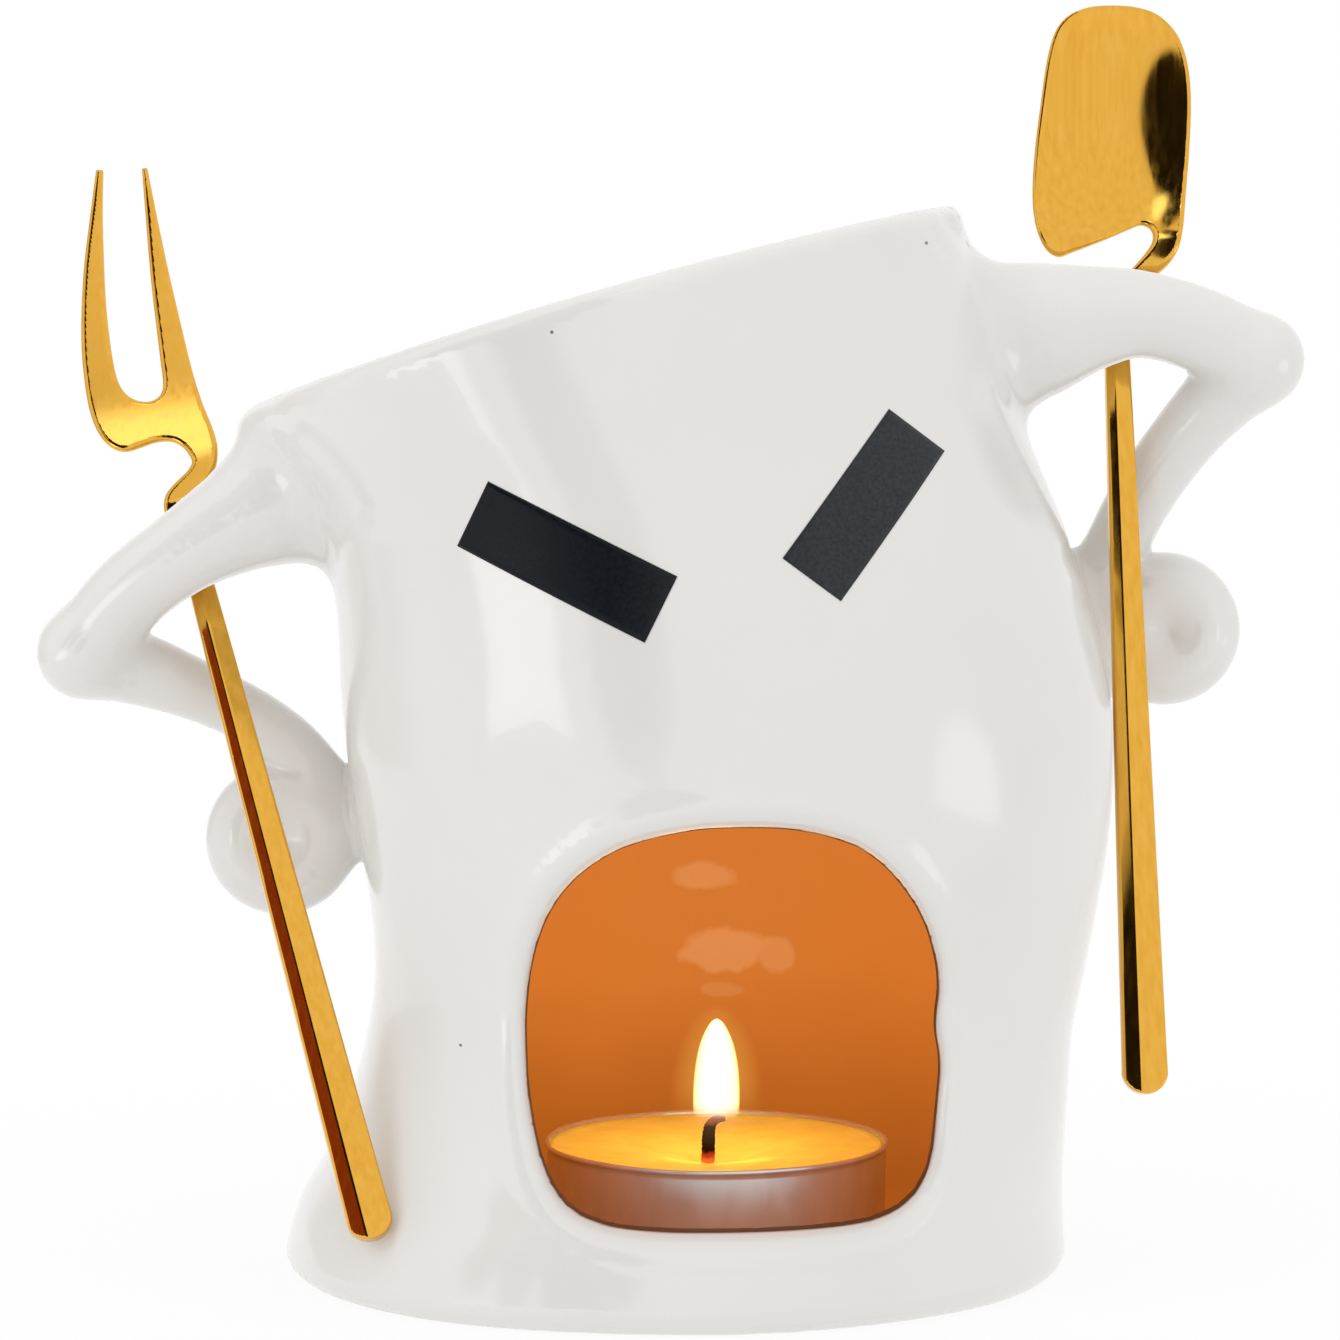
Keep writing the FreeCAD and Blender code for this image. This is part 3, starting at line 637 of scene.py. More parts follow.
# BROWS. Two black decals, fired onto the front under a thin gloss. They follow the body's curve and
# stand off it by a fifth of a millimetre. The right one is painted lighter, a painted reflection of the
# brighter room on that side.
BROWS = (
    ("brow_left", (-10.7, 80.4), -26.2, 21.8, 7.6, "left_brow"),
    ("brow_right", (20.2, 86.2), 53.5, 18.9, 7.5, "right_brow"),
)
DECAL = 0.2
ROUNDED = 0.25
BEDDED = 0.05
BROW_CORNERS = (45, 17)


def on_front(x, z):
    """Y of the mug's front at places seen from straight ahead."""
    y = np.full(len(x), MUG_LOW[1] + 0.5)
    for _ in range(14):
        y += mug_distance(np.stack([x, y, z], 1))
    return y


def make_brow(centre, turn, length, width):
    """A curved plate: its face, its edge and its back on the mug."""
    across, up = BROW_CORNERS
    u, v = np.meshgrid(np.linspace(-0.5, 0.5, across), np.linspace(-0.5, 0.5, up), indexing="ij")
    cosine, sine = math.cos(math.radians(turn)), math.sin(math.radians(turn))
    x = centre[0] + u * length * cosine - v * width * sine
    z = centre[1] + u * length * sine + v * width * cosine
    y = on_front(x.ravel(), z.ravel()).reshape(x.shape)
    edge = np.minimum(np.minimum(u + 0.5, 0.5 - u) * length, np.minimum(v + 0.5, 0.5 - v) * width)
    lift = DECAL * np.sqrt(np.clip(edge / ROUNDED, 0.15, 1.0))
    front = np.stack([x, y - lift, z], -1).reshape(-1, 3)
    back = np.stack([x, y + BEDDED, z], -1).reshape(-1, 3)
    number = np.arange(across * up).reshape(across, up)
    a, b, c, d = number[:-1, :-1], number[1:, :-1], number[1:, 1:], number[:-1, 1:]
    faces = np.stack([a, b, c, d], -1).reshape(-1, 4)
    rim = np.concatenate([number[:-1, 0], number[-1, :-1], number[:0:-1, -1], number[0, :0:-1]])
    after = np.roll(rim, -1)
    count = across * up
    sides = np.stack([rim, rim + count, after + count, after], 1)
    return np.vstack([front, back]), np.vstack([faces, faces[:, ::-1] + count, sides])


decal, tree, shader, skin = new_material(
    "black_decal", (2600.0, 2600.0, 2600.0), (0.7, 0.7, 0.7), (1.2, 1.2, 1.2),
    roughness=(0.28, 0.44), bump=(0.18, 0.1))
# Painted reflection: the decal's black is painted lighter towards the right.
sheen_to_the_right = ranged(tree, part_of(tree, place_in(tree), "X"), -0.006, 0.016)
ink_and_sheen = colours_over(tree, sheen_to_the_right, [(0.0, (0.0035, 0.0045, 0.0085)), (1.0, (0.034, 0.036, 0.040))])
fill(tree, shader, [("Base Color", mixed(tree, 1.0, ink_and_sheen, skin.outputs["Color"], "MULTIPLY")),
                    ("Specular IOR Level", 0.16)])
for name, centre, turn, length, width, node in BROWS:
    points, faces = make_brow(centre, turn, length, width)
    brow = piece_from(name, points, faces)
    brow.data.materials.append(decal)
    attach(brow, "root")
    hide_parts(node)

# TEALIGHT CUP. Drawn from thin aluminium, with its lip rolled outwards and faintly crimped. It stands
# loose on the floor of the chamber and holds the wax.
CANDLE = (5.1, -8.0)
CUP_BOTTOM = CHAMBER_FLOOR
CUP_RADIUS = 18.75
CUP_TOP = 15.0
CUP_WALL = 0.35
CUP_FLAT = 17.75
CUP_FOOT = (18.65, 4.1)
LIP_ROLL = 0.28
LIP_CRIMPED = 0.9


def turned_piece(name, profile, sides, waver=None):
    """A piece turned about the candle's axis; its profile of (radius, height) starts and ends there."""
    profile = np.array(profile, float)
    turn = np.linspace(0, 2 * math.pi, sides, endpoint=False)[:, None]
    radius = profile[:, 0] + 0 * turn
    level = profile[:, 1] + 0 * turn
    if waver is not None:
        out, up = waver(turn, level)
        radius, level = radius + out * (radius > 1.0), level + up
    points = np.stack([CANDLE[0] + radius * np.cos(turn), CANDLE[1] + radius * np.sin(turn), level], -1)
    number = np.arange(sides * len(profile)).reshape(sides, -1)
    ahead = np.roll(number, -1, axis=0)
    faces = np.stack([number[:, :-1], ahead[:, :-1], ahead[:, 1:], number[:, 1:]], -1).reshape(-1, 4)
    return piece_from(name, points.reshape(-1, 3), faces)


def weld(piece):
    """Joins the corners that meet on an axis, so that the mesh is closed."""
    work = bmesh.new()
    work.from_mesh(piece.data)
    bmesh.ops.remove_doubles(work, verts=work.verts, dist=2e-5)
    bmesh.ops.dissolve_degenerate(work, edges=work.edges, dist=2e-6)
    bmesh.ops.recalc_face_normals(work, faces=work.faces)
    work.to_mesh(piece.data)
    work.free()


def cup_waver(turn, level):
    """Small dents of handling, and the crimps of the lip."""
    high = np.clip((level - CUP_BOTTOM) / (CUP_TOP - CUP_BOTTOM), 0, 1)
    lip = np.clip((level - CUP_TOP + LIP_CRIMPED) / LIP_CRIMPED, 0, 1)
    dent = 0.05 * np.sin(3 * turn + 0.7) + 0.035 * np.sin(7 * turn + 2.0) + 0.02 * np.sin(17 * turn)
    return dent * high + 0.025 * np.sin(64 * turn) * lip, 0.04 * np.sin(5 * turn + 1.0) * lip


cup_profile = [(0.0, CUP_BOTTOM), (12.0, CUP_BOTTOM), (CUP_FLAT, CUP_BOTTOM), (18.25, 3.3), (18.57, 3.6),
               CUP_FOOT]
cup_profile += [(CUP_FOOT[0] + 0.02 * k, CUP_FOOT[1] + 1.96 * k) for k in range(1, 6)]
for turn in np.linspace(-math.pi / 2, math.pi, 9):
    out = LIP_ROLL * math.cos(turn)
    cup_profile.append((CUP_RADIUS + 0.02 + out, CUP_TOP - 0.3 + LIP_ROLL * math.sin(turn)))
cup_profile += [(CUP_RADIUS - CUP_WALL, 14.4), (CUP_RADIUS - 0.37, 13.0), (18.3, CUP_FOOT[1]),
                (CUP_FLAT, CUP_BOTTOM + CUP_WALL), (0.0, CUP_BOTTOM + CUP_WALL)]
cup = turned_piece("candle_cup", cup_profile, 192, cup_waver)
weld(cup)
foil, tree, shader, skin = new_material(
    "cup_foil", (420.0, 420.0, 160.0), (0.74, 0.72, 0.69), (0.82, 0.80, 0.77),
    roughness=(0.30, 0.38), bump=(0.1, 0.08))
shader.inputs["Metallic"].default_value = 0.75
cup.data.materials.append(foil)
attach(cup, "root")
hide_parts("tealight_cup")

# SUSTAINER. A stamped tin disc whose collar grips the wick. It lies at the bottom of the cup under the
# wax, and its own mesh is kept.
tin, tree, shader, skin = new_material(
    "tinned_steel", (700.0, 700.0, 700.0), (0.45, 0.45, 0.46), (0.66, 0.66, 0.66),
    roughness=(0.30, 0.50), bump=(0.2, 0.1))
shader.inputs["Metallic"].default_value = 1.0
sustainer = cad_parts["wick_sustainer"]
sustainer.data.materials.clear()
sustainer.data.materials.append(tin)

# WAX. Full to the lip, with a melted hollow round the wick. It climbs a little at the cup. The flame's light
# in it is painted as an orange glow, brightest close to the flame's foot.
WAX_LEVEL = 14.1
WAX_BOTTOM = CUP_BOTTOM + CUP_WALL + 0.05
WAX_RADIUS = 18.2
WAX_CLIMB = (0.42, 0.7)
WAX_HOLLOW = (1.8, 6.5)
# Painted light: where the wax glows brightest, how far the glow reaches, and its colours.
WAX_GLOW_CENTRE = (0.0043, -0.010, 0.0128)
WAX_GLOW_REACH = 0.020
WAX_GLOW_COLOURS = [(0.1, (0.52, 0.24, 0.018)), (0.55, (0.68, 0.40, 0.030)), (1.0, (0.80, 0.50, 0.050))]
wax_profile = [(0.0, WAX_BOTTOM), (17.6, WAX_BOTTOM), (18.1, 4.4), (WAX_RADIUS, WAX_LEVEL + 0.45)]
for radius in np.linspace(WAX_RADIUS, 0.0, 42)[1:]:
    climb = WAX_CLIMB[0] * math.exp(-(WAX_RADIUS - radius) / WAX_CLIMB[1])
    hollow = WAX_HOLLOW[0] * math.exp(-((radius / WAX_HOLLOW[1]) ** 2))
    wax_profile.append((radius, WAX_LEVEL + (climb - hollow)))
wax = turned_piece("candle_wax", wax_profile, 144)
weld(wax)
pool, tree, shader, skin = new_material(
    "wax", (260.0, 260.0, 260.0), (0.70, 0.38, 0.07), (0.84, 0.52, 0.12),
    roughness=(0.12, 0.24), bump=(0.05, 0.1))
# Painted light: the wax glows, brightest near the flame's foot.
wax_glow = ranged(tree, vector_maths(tree, "DISTANCE", place_in(tree), WAX_GLOW_CENTRE), 0.0, WAX_GLOW_REACH, 1.0, 0.0)
wax_glow = maths(tree, "MULTIPLY_ADD", skin.outputs["Height"], 0.25, wax_glow)
fill(tree, shader, [("Emission Color", colours_over(tree, wax_glow, WAX_GLOW_COLOURS)), ("Emission Strength", 0.85)])
wax.data.materials.append(pool)
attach(wax, "root")
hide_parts("tealight_wax")

# WICK. Braided cotton, charred where it stands out of the wax. Its top has bent over to the right, and
# its foot and its tip still glow.
WICK_LINE = [(4.15, -8.0, 4.2, 0.60), (4.15, -8.0, 9.0, 0.60), (4.2, -8.0, 12.6, 0.66),
             (4.25, -8.05, 14.4, 0.66), (4.3, -8.1, 15.8, 0.62), (4.6, -8.1, 16.7, 0.52),
             (5.25, -8.0, 17.15, 0.40), (6.1, -7.9, 17.2, 0.24)]
GLOWING_FROM = 0.0126
GLOWING_TO = 0.0176
CHARRING = [(0.12, (0.95, 0.16, 0.02)), (0.24, (0.50, 0.035, 0.006)), (0.34, (0.006, 0.001, 0.001)),
            (0.88, (0.010, 0.002, 0.001)), (1.0, (0.30, 0.045, 0.008))]


def tube(line, sides, shape):
    """A closed tube round a line of X, Y, Z and radius; shape gives its section round and along."""
    middle, radius = line[:, :3], line[:, 3]
    ahead = np.gradient(middle, axis=0)
    ahead /= np.linalg.norm(ahead, axis=1)[:, None]
    side = np.cross(ahead, (0.0, 1.0, 0.0))
    side /= np.linalg.norm(side, axis=1)[:, None]
    other = np.cross(side, ahead)
    turn = np.linspace(0, 2 * math.pi, sides, endpoint=False)
    share = np.linspace(0, 1, len(line))
    size = radius[:, None] * shape(turn[None, :], share[:, None])
    rings = middle[:, None, :] + size[..., None] * (
        np.cos(turn)[None, :, None] * side[:, None, :] + np.sin(turn)[None, :, None] * other[:, None, :]
    )
    points = np.vstack([rings.reshape(-1, 3), middle[:1], middle[-1:]])
    number = np.arange(len(line) * sides).reshape(len(line), sides)
    following = np.roll(number, -1, axis=1)
    faces = np.stack([number[:-1], following[:-1], following[1:], number[1:]], -1).reshape(-1, 4).tolist()
    start, end = len(points) - 2, len(points) - 1
    faces += [[start, b, a] for a, b in zip(number[0], following[0])]
    faces += [[end, a, b] for a, b in zip(number[-1], following[-1])]
    return points, faces


def braid(turn, share):
    """Section of the braid: strands that cross, and loose fibres."""
    rise = 70 * share
    strands = np.maximum(np.sin(3 * turn + rise), np.sin(3 * turn - rise))
    return 1 + 0.12 * strands + 0.07 * np.sin(9 * turn + 31 * share)


wick = piece_from("candle_wick", *tube(smooth_line(WICK_LINE, False, 120), 26, braid))
weld(wick)
char, tree, shader, skin = new_material(
    "wick_cotton", (1900.0, 1900.0, 1900.0), (0.004, 0.002, 0.002), (0.022, 0.008, 0.005),
    roughness=(0.85, 1.0), bump=(0.6, 0.2))
level = ranged(tree, part_of(tree, place_in(tree), "Z"), GLOWING_FROM, GLOWING_TO)
level = maths(tree, "MULTIPLY_ADD", skin.outputs["Height"], 0.22, level)
fill(tree, shader, [("Emission Color", colours_over(tree, level, CHARRING)), ("Emission Strength", 1.0),
                    ("Specular IOR Level", 0.0)])
wick.data.materials.append(char)
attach(wick, "root")
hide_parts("wick")

# FLAME. A tall blunt drop over the wick: white inside, yellow at its edge, and clear round its foot. A
# wider shell round it is its glow in the air.
FLAME_LINE = [(5.0, -8.0, 13.9, 0.9), (5.0, -8.0, 14.5, 1.6), (5.05, -8.0, 15.8, 2.25),
              (5.1, -8.0, 17.4, 2.5), (5.12, -8.0, 19.2, 2.58), (5.14, -8.0, 21.0, 2.54),
              (5.16, -8.0, 22.8, 2.40), (5.16, -8.0, 24.4, 2.14), (5.16, -8.0, 25.8, 1.78),
              (5.16, -8.0, 27.0, 1.28), (5.16, -8.0, 27.9, 0.74), (5.16, -8.0, 28.25, 0.36),
              (5.16, -8.0, 28.4, 0.05)]
FLAME_FOOT = 0.0139
FLAME_TIP = 0.0284
FLAME_MIDDLE = 21.2
GLOW_LINE = [(x, y, FLAME_MIDDLE + (z - FLAME_MIDDLE) * 1.2, 1.9 * radius + 0.3)
             for x, y, z, radius in FLAME_LINE]


def plain_round(turn, share):
    """The flame's section: a plain circle all the way up."""
    return 1 + 0 * turn * share


def make_fire(name, line, edge_colours, rising_alpha, fade, strength):
    """A shell of light: its colour goes by how squarely it is seen, its clearness by height."""
    shell = piece_from(name, *tube(smooth_line(line, False, 72), 48, plain_round))
    weld(shell)
    material = bpy.data.materials.new(name)
    material.use_nodes = True
    tree = material.node_tree
    shader = tree.nodes["Principled BSDF"]
    level = ranged(tree, part_of(tree, place_in(tree), "Z"), FLAME_FOOT, FLAME_TIP)
    facing = node_in(tree, "ShaderNodeLayerWeight", [("Blend", 0.5)]).outputs["Facing"]
    clear = colours_over(tree, level, [(place, (value, value, value)) for place, value in rising_alpha])
    sides = maths(tree, "POWER", maths(tree, "SUBTRACT", 1.0, facing), fade)
    fill(tree, shader, [
        ("Base Color", DARK),
        ("Specular IOR Level", 0.0),
        ("Emission Color", colours_over(tree, facing, edge_colours)),
        ("Emission Strength", strength),
        ("Alpha", maths(tree, "MULTIPLY", clear, sides)),
    ])
    shell.data.materials.append(material)
    shell.visible_shadow = False
    shell.visible_diffuse = False
    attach(shell, "root")


make_fire("candle_flame", FLAME_LINE,
          edge_colours=[(0.0, (1.0, 0.96, 0.80)), (0.55, (1.0, 0.88, 0.42)), (0.9, (1.0, 0.45, 0.06))],
          rising_alpha=[(0.0, 0.0), (0.20, 0.008), (0.26, 0.05), (0.35, 0.75), (0.47, 1.0)],
          fade=0.30, strength=1.8)
make_fire("flame_glow", GLOW_LINE,
          edge_colours=[(0.0, (1.0, 0.52, 0.10)), (0.9, (1.0, 0.32, 0.04))],
          rising_alpha=[(0.0, 0.0), (0.25, 0.05), (0.5, 0.24), (1.0, 0.16)],
          fade=2.0, strength=1.0)

# FORK and SPOON. Each is pressed from one piece of steel and plated with polished gold. The handle has a
# flat back and two facets that meet in a ridge; the head is a thin plate with rounded edges. They hang
# loose in the loops of the arms. Handles are given at their round end and at their top.
HANDLE_WIDTHS = (5.0, 2.7)
HANDLE_THICKNESSES = (2.4, 1.5)
RIDGE = 0.11
DARK_FACET = math.radians(22.5)
SIDE_BEVEL = math.radians(72.0)
FACET_RISE = 0.375
FACET_EDGE = 0.12
BEVEL_EDGE = 0.16
BACK_EDGE = 0.2
NECK_FILLET = 0.5
BLADE = 1.2
EDGE_ROUND = 0.56
HEAD_MARGIN = 3
HEAD_DEPTH = 9.0
HEAD_OVERLAP = 5.0
# What each is meshed in: half the handle's width, the front, the back and the foot.
CUTLERY_BOX = (3.2, -7.4, 3.6, -0.8)
CUTLERY_STEP = 0.20


def handle_distance(p, length):
    """Distance from a handle that stands on its round end and tapers up the Z axis."""
    x, y, z = p[:, 0], p[:, 1], p[:, 2]
    up = np.clip(z / length, 0, 1)
    width = HANDLE_WIDTHS[0] + (HANDLE_WIDTHS[1] - HANDLE_WIDTHS[0]) * up
    thickness = HANDLE_THICKNESSES[0] + (HANDLE_THICKNESSES[1] - HANDLE_THICKNESSES[0]) * up
    from_ridge_x = x + RIDGE * width
    from_ridge_y = y + thickness / 2
    run, rise = (0.5 + RIDGE) * width, FACET_RISE * thickness
    broad = (rise * from_ridge_x - run * from_ridge_y) / np.hypot(run, rise)
    narrow = -math.sin(DARK_FACET) * from_ridge_x - math.cos(DARK_FACET) * from_ridge_y
    bevel = -math.sin(SIDE_BEVEL) * (x + width / 2) - math.cos(SIDE_BEVEL) * (y - 0.05 * thickness)
    end = HANDLE_WIDTHS[0] / 2
    sides = np.where(z < end, np.hypot(x, z - end) - end, np.abs(x) - width / 2)
    solid = round_cut(broad, narrow, FACET_EDGE)
    solid = round_cut(solid, bevel, BEVEL_EDGE)
    solid = round_cut(solid, y - thickness / 2, BACK_EDGE)
    solid = round_cut(solid, sides, BACK_EDGE)
    return np.maximum(solid, z - length - NECK_FILLET)


def blade_distance(p, outline, sweep):
    """Distance from a thin plate of an outline; sweep gives Y of its middle and how squarely it stands."""
    flat = outline_distance(p[:, [0, 2]], outline)
    middle, square = sweep(p[:, 0], p[:, 2])
    return round_cut(flat, np.abs(p[:, 1] - middle) * square - BLADE / 2, EDGE_ROUND)


def make_cutlery(name, length, outline, sweep, end, lean, tilt):
    """Meshes one piece upright and hangs it: its round end, its lean sideways and its tilt back."""
    head = outline + (0.0, length)
    left, right, top = head[:, 0].min(), head[:, 0].max(), head[:, 1].max()

    def whole(p):
        low = np.array([left - HEAD_MARGIN, -HEAD_DEPTH, length - HEAD_OVERLAP])
        high = np.array([right + HEAD_MARGIN, HEAD_DEPTH, top + HEAD_MARGIN])
        plate = only_near(p, low, high, lambda q: blade_distance(q, head, lambda x, z: sweep(x, z - length)))
        return round_join(handle_distance(p, length), plate, NECK_FILLET)

    half, front, back, foot = CUTLERY_BOX
    low = (min(-half, left - 1), front, foot)
    high = (max(half, right + 1), back, top + 1)
    points, quads, normals = surface_from(whole, low, high, CUTLERY_STEP, 2)
    tilted = Matrix.Rotation(math.radians(tilt), 3, "X")
    hung = np.array(tilted @ Matrix.Rotation(math.radians(lean), 3, "Y"))
    return piece_from(name, points @ hung.T + np.array(end), quads, normals @ hung.T)


gold, tree, shader, skin = new_material(
    "gold_plate", (1500.0, 1500.0, 24.0), (0.78, 0.40, 0.048), (0.86, 0.47, 0.075),
    roughness=(0.06, 0.15), bump=(0.03, 0.05))
shader.inputs["Metallic"].default_value = 1.0

# The fork's two tines bow back and then forward, and its hooked neck brings them over the handle. Points
# are X and Z over the handle's top.
FORK_LEFT_EDGE = [
    (-1.35, -3.0), (-1.5, -1.6), (-1.84, -0.4), (-1.69, 1.0), (-1.08, 2.1), (0.17, 3.09), (1.75, 4.1),
    (2.5, 5.0), (2.45, 6.0), (1.88, 7.4), (0.86, 8.4), (-0.82, 8.8), (-2.9, 8.6), (-4.3, 8.6),
    (-5.5, 9.3), (-6.5, 10.9), (-7.05, 13.4), (-7.05, 16.8), (-6.4, 22.0), (-5.3, 26.9), (-3.6, 32.6),
    (-1.4, 38.4), (0.55, 43.3),
]
FORK_GAP = [
    (1.35, 43.0), (0.05, 38.3), (-1.15, 33.0), (-2.3, 27.2), (-3.0, 21.8), (-3.2, 18.2), (-2.8, 16.1),
    (-1.75, 14.7), (-0.3, 14.1), (0.95, 14.5), (1.65, 15.9), (2.1, 19.4), (3.3, 28.6), (4.6, 36.3),
    (5.65, 42.1),
]
FORK_RIGHT_EDGE = [
    (6.3, 42.0), (5.95, 36.6), (5.6, 29.9), (5.38, 22.9), (5.25, 16.6), (5.4, 12.4), (5.75, 9.0),
    (5.8, 6.6), (5.3, 4.4), (4.42, 2.9), (3.2, 1.7), (2.0, 0.5), (1.45, -1.0), (1.35, -3.0),
]
fork_outline = np.vstack([smooth_line(FORK_LEFT_EDGE, False, 70), smooth_line(FORK_GAP, False, 46),
                          smooth_line(FORK_RIGHT_EDGE, False, 42)])
NECK_HEIGHT = 8.0
TINE_HEIGHT = 35.0
LEAN_BACK = 0.18
LEAN_FORWARD = 0.37
BOW_STEP = 0.1
BOW_HEIGHTS = np.linspace(-6.0, 46.0, 521)
up_the_neck = np.clip(BOW_HEIGHTS / NECK_HEIGHT, 0, 1)
up_the_tines = np.clip((BOW_HEIGHTS - NECK_HEIGHT) / TINE_HEIGHT, 0, 1)
bow_slope = LEAN_BACK * up_the_neck**2 * (3 - 2 * up_the_neck) - LEAN_FORWARD * up_the_tines
bow = np.cumsum(bow_slope) * BOW_STEP


def fork_sweep(x, z):
    """Y of the middle of the fork's head, and how squarely the plate stands there."""
    return np.interp(z, BOW_HEIGHTS, bow), 1 / np.sqrt(1 + np.interp(z, BOW_HEIGHTS, bow_slope) ** 2)


fork = make_cutlery("fondue_fork", 86.2, fork_outline, fork_sweep,
                    end=(-31.3, -29.8, 8.2), lean=-15.8, tilt=-23.4)

# The spoon's squarish bowl is pressed hollow towards the front, and its lower right corner runs down
# into the neck.
SPOON_OUTLINE = [
    (1.35, -3.0), (1.42, -0.6), (1.9, 1.2), (2.7, 2.5), (3.6, 3.4), (4.7, 4.2), (5.86, 5.18), (6.9, 6.8),
    (7.6, 9.6), (8.2, 13.8), (8.8, 18.6), (9.15, 23.6), (8.95, 27.4), (8.2, 30.2), (7.0, 32.1),
    (5.1, 33.6), (2.5, 34.35), (-0.4, 34.5), (-2.7, 34.2), (-4.7, 33.3), (-6.0, 31.7), (-6.9, 28.8),
    (-7.7, 24.0), (-8.5, 18.8), (-9.0, 14.0), (-9.0, 10.4), (-8.5, 7.9), (-7.6, 6.5), (-6.35, 6.0),
    (-4.9, 6.55), (-3.4, 7.15), (-0.6, 8.35), (1.9, 9.5), (3.0, 9.85), (3.85, 9.4), (4.15, 8.5),
    (3.95, 7.5), (3.3, 6.5), (2.0, 5.05), (0.5, 3.75), (-0.7, 2.4), (-1.25, 0.6), (-1.35, -3.0),
]
DISH_RADIUS = 27.0
DISH_CENTRE = (0.6, 19.6)
DISH_REACH = 22.0
SPOON_NECK = 9.0


def spoon_sweep(x, z):
    """The same for the spoon: a part of a sphere, which runs out flat down its neck."""
    away = np.minimum(np.hypot(x - DISH_CENTRE[0], z - DISH_CENTRE[1]), DISH_REACH)
    deep = np.sqrt(DISH_RADIUS**2 - away**2)
    t = np.clip(z / SPOON_NECK, 0, 1)
    return (deep - DISH_RADIUS) * t**2 * (3 - 2 * t), deep / DISH_RADIUS


spoon_outline = smooth_line(SPOON_OUTLINE, False, 140)
spoon = make_cutlery("fondue_spoon", 86.4, spoon_outline, spoon_sweep,
                     end=(51.4, -19.2, 21.9), lean=-1.2, tilt=-14.1)
# The glaze doesn't mirror the gold, which would tint it over its whole width.
for piece, node in ((fork, "fork"), (spoon, "spoon")):
    piece.data.materials.append(gold)
    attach(piece, "root")
    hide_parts(node)
    piece.visible_glossy = False

# LIGHT. A small warm lamp in the flame, three large soft lamps, and a pale room that is white behind the
# object. Gloss and polished metal also see the dark and the bright things in that room.
lamp = bpy.data.lights.new("candle_light", "POINT")
lamp.color = (1.0, 0.56, 0.20)
lamp.energy = 0.004
lamp.shadow_soft_size = 0.0022
candle_light = bpy.data.objects.new("candle_light", lamp)
candle_light.location = (0.0052, -0.008, 0.0225)
bpy.context.scene.collection.objects.link(candle_light)


def soft_lamp(name, place, power):
    """A large lamp at a place in metres, aimed at the mug."""
    light = bpy.data.lights.new(name, "AREA")
    light.shape = "RECTANGLE"
    light.size, light.size_y = 0.8, 0.8
    light.energy = power
    holder = bpy.data.objects.new(name, light)
    holder.location = place
    holder.rotation_euler = (Vector((0, 0, 0.06)) - Vector(place)).to_track_quat("-Z", "Y").to_euler()
    holder.visible_glossy = False
    bpy.context.scene.collection.objects.link(holder)


soft_lamp("key", (-0.80, -0.60, 0.75), 1.8)
soft_lamp("fill", (0.85, -0.60, 0.60), 0.8)
soft_lamp("top", (0.0, -0.05, 1.0), 1.2)

world = bpy.data.worlds.new("studio")
world.use_nodes = True
tree = world.node_tree
tree.nodes.clear()
direction = node_in(tree, "ShaderNodeTexCoord").outputs["Generated"]
forward = maths(tree, "MULTIPLY", part_of(tree, direction, "Y"), -1.0)
turn = maths(tree, "ARCTAN2", part_of(tree, direction, "X"), forward)
rise = maths(tree, "ARCSINE", part_of(tree, direction, "Z"))
slant = maths(tree, "MULTIPLY_ADD", maths(tree, "MULTIPLY", rise, rise), 0.22, turn)
# What gloss and polished metal see: azimuth to the right of the camera, height, half widths, softness and
# brightness against the room. The first leans over to the left, the others stand upright.
IN_THE_ROOM = (
    (-20.0, 30.0, 15.0, 44.0, 0.05, (0.012, 0.010, 0.010), slant),
    (-40.0, 19.0, 7.0, 19.0, 0.08, (0.012, 0.010, 0.010), turn),
    (-53.0, 21.0, 7.0, 17.0, 0.12, (0.24, 0.05, 0.015), turn),
    (-24.0, 62.5, 5.5, 7.0, 0.25, (1.9, 2.2, 3.0), turn),
    (-52.0, -14.0, 15.0, 16.0, 0.12, (2.6, 2.6, 2.6), turn),
    (64.0, -14.0, 13.0, 16.0, 0.12, (2.1, 2.1, 2.1), turn),
    (-122.0, 10.0, 20.0, 60.0, 0.30, (0.72, 0.66, 0.60), turn),
)
room = (0.97, 0.97, 0.97, 1)
for azimuth, height, wide, high, softness, brightness, across in IN_THE_ROOM:
    angles = node_in(tree, "ShaderNodeCombineXYZ", [("X", across), ("Y", rise)]).outputs[0]
    off = vector_maths(tree, "SUBTRACT", angles, (math.radians(azimuth), math.radians(height), 0.0))
    off = vector_maths(tree, "DIVIDE", off, (math.radians(wide), math.radians(high), 1.0))
    off = vector_maths(tree, "LENGTH", off)
    room = mixed(tree, ranged(tree, off, 1 - softness, 1 + softness), (*brightness, 1), room)
path = node_in(tree, "ShaderNodeLightPath").outputs
looked_through = maths(tree, "MAXIMUM", path["Is Camera Ray"], path["Is Transmission Ray"])
ambient = node_in(tree, "ShaderNodeBackground", [("Color", (1, 1, 1, 1)), ("Strength", 0.80)]).outputs[0]
mirrored = node_in(tree, "ShaderNodeBackground", [("Color", room), ("Strength", 1.0)]).outputs[0]
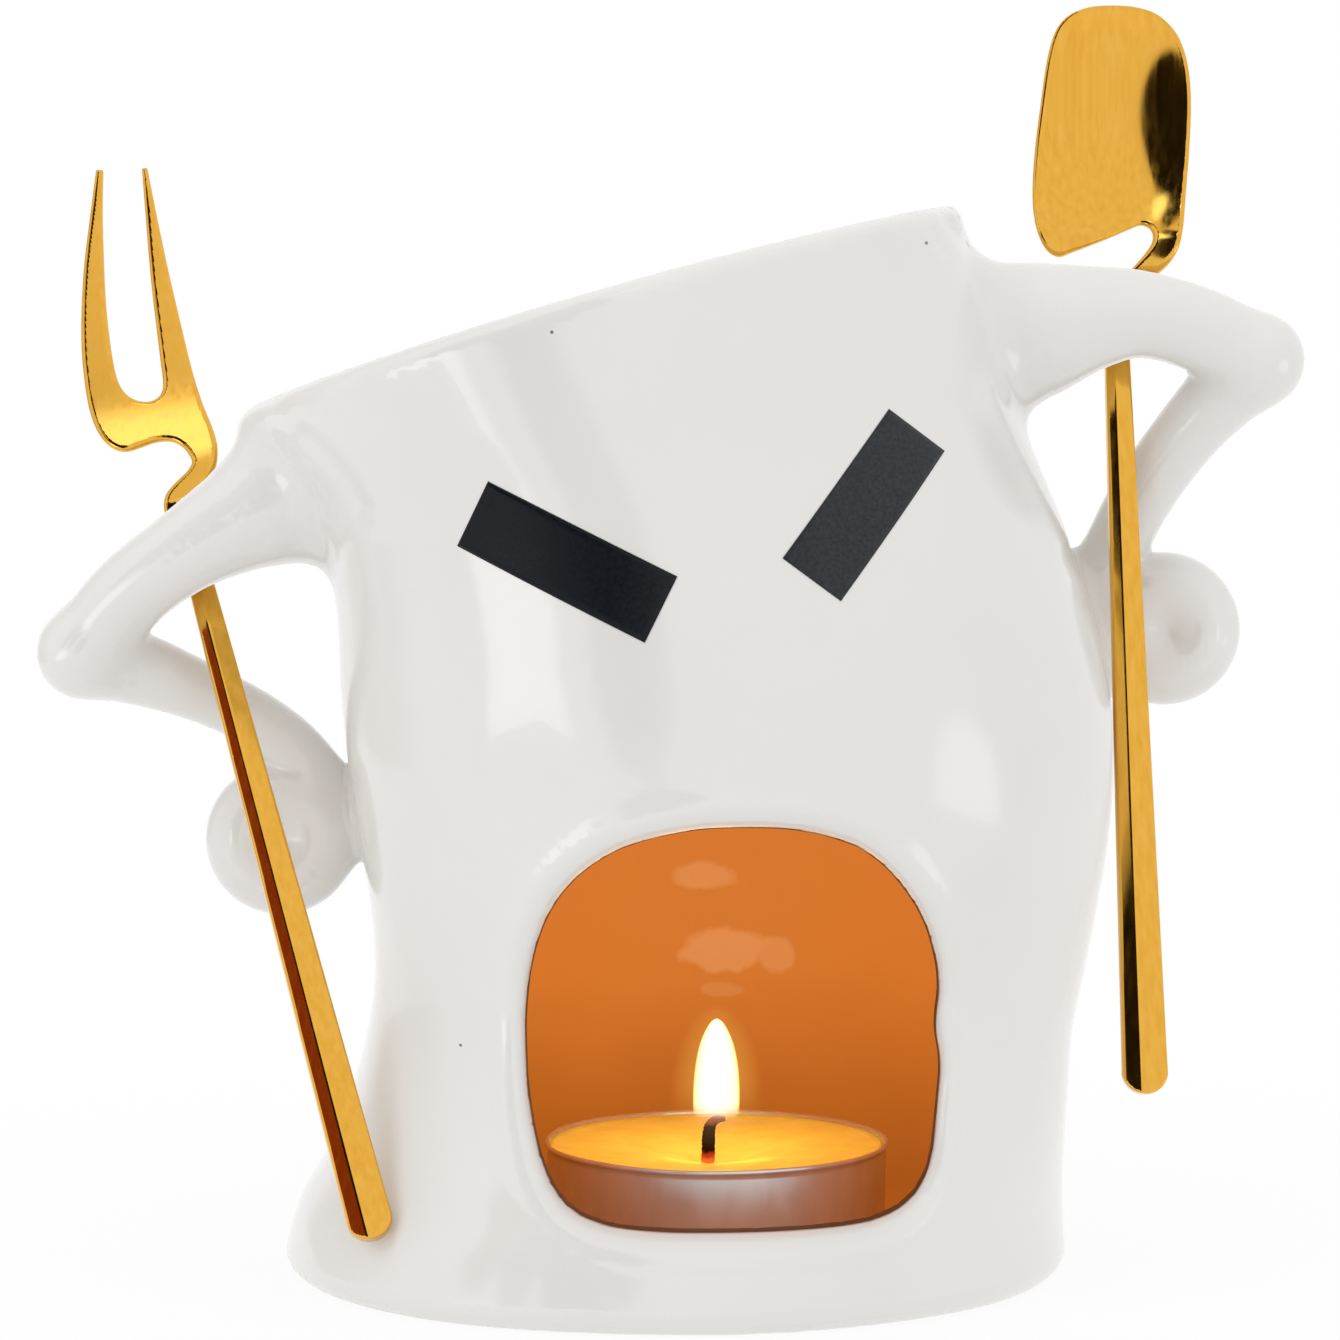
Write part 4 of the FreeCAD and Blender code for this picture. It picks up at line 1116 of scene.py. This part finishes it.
white = node_in(tree, "ShaderNodeBackground", [("Color", (1, 1, 1, 1)), ("Strength", 1.0)]).outputs[0]
lighting = node_in(tree, "ShaderNodeMixShader", [(0, path["Is Glossy Ray"]), (1, ambient), (2, mirrored)])
shown = node_in(tree, "ShaderNodeMixShader", [(0, looked_through), (1, lighting.outputs[0]), (2, white)])
node_in(tree, "ShaderNodeOutputWorld", [("Surface", shown.outputs[0])])
bpy.context.scene.world = world
bpy.context.scene.view_settings.view_transform = "Standard"

# FLOOR. A sheet of white paper that keeps the soft shadow and is plain white away from the object. Light
# that bounces off it is part paper and part white, so that the glaze isn't tinted from below.
FLOOR_REACH = 0.3
corners = [(x * FLOOR_REACH, y * FLOOR_REACH, 0) for x, y in ((-1, -1), (1, -1), (1, 1), (-1, 1))]
floor = bpy.data.meshes.new("floor")
floor.from_pydata(corners, [], [(0, 1, 2, 3)])
paper = bpy.data.materials.new("paper")
paper.use_nodes = True
tree = paper.node_tree
tree.nodes.clear()
matt = node_in(tree, "ShaderNodeBsdfDiffuse", [("Color", (0.95, 0.95, 0.95, 1))]).outputs[0]
white = node_in(tree, "ShaderNodeEmission", [("Strength", 1.0)]).outputs[0]
white_share = ranged(tree, vector_maths(tree, "LENGTH", place_in(tree)), 0.07, 0.20, 0.91, 1.0)
share = node_in(tree, "ShaderNodeMix", [(0, looked_at_in(tree)), (2, 0.45), (3, white_share)]).outputs[0]
blend = node_in(tree, "ShaderNodeMixShader", [(0, share), (1, matt), (2, white)])
node_in(tree, "ShaderNodeOutputMaterial", [("Surface", blend.outputs[0])])
floor.materials.append(paper)
ground = bpy.data.objects.new("floor", floor)
bpy.context.scene.collection.objects.link(ground)

# CAMERA. Half a metre in front, level with the rim, looking a little down.
lens = bpy.data.cameras.new("camera")
lens.lens = 120.09
lens.sensor_width = 36.0
lens.clip_start = 0.01
camera = bpy.data.objects.new("camera", lens)
camera.location = (0.0, -0.497, 0.1047)
camera.rotation_euler = (math.radians(85.59), 0.0, 0.0)
bpy.context.scene.collection.objects.link(camera)
bpy.context.scene.camera = camera
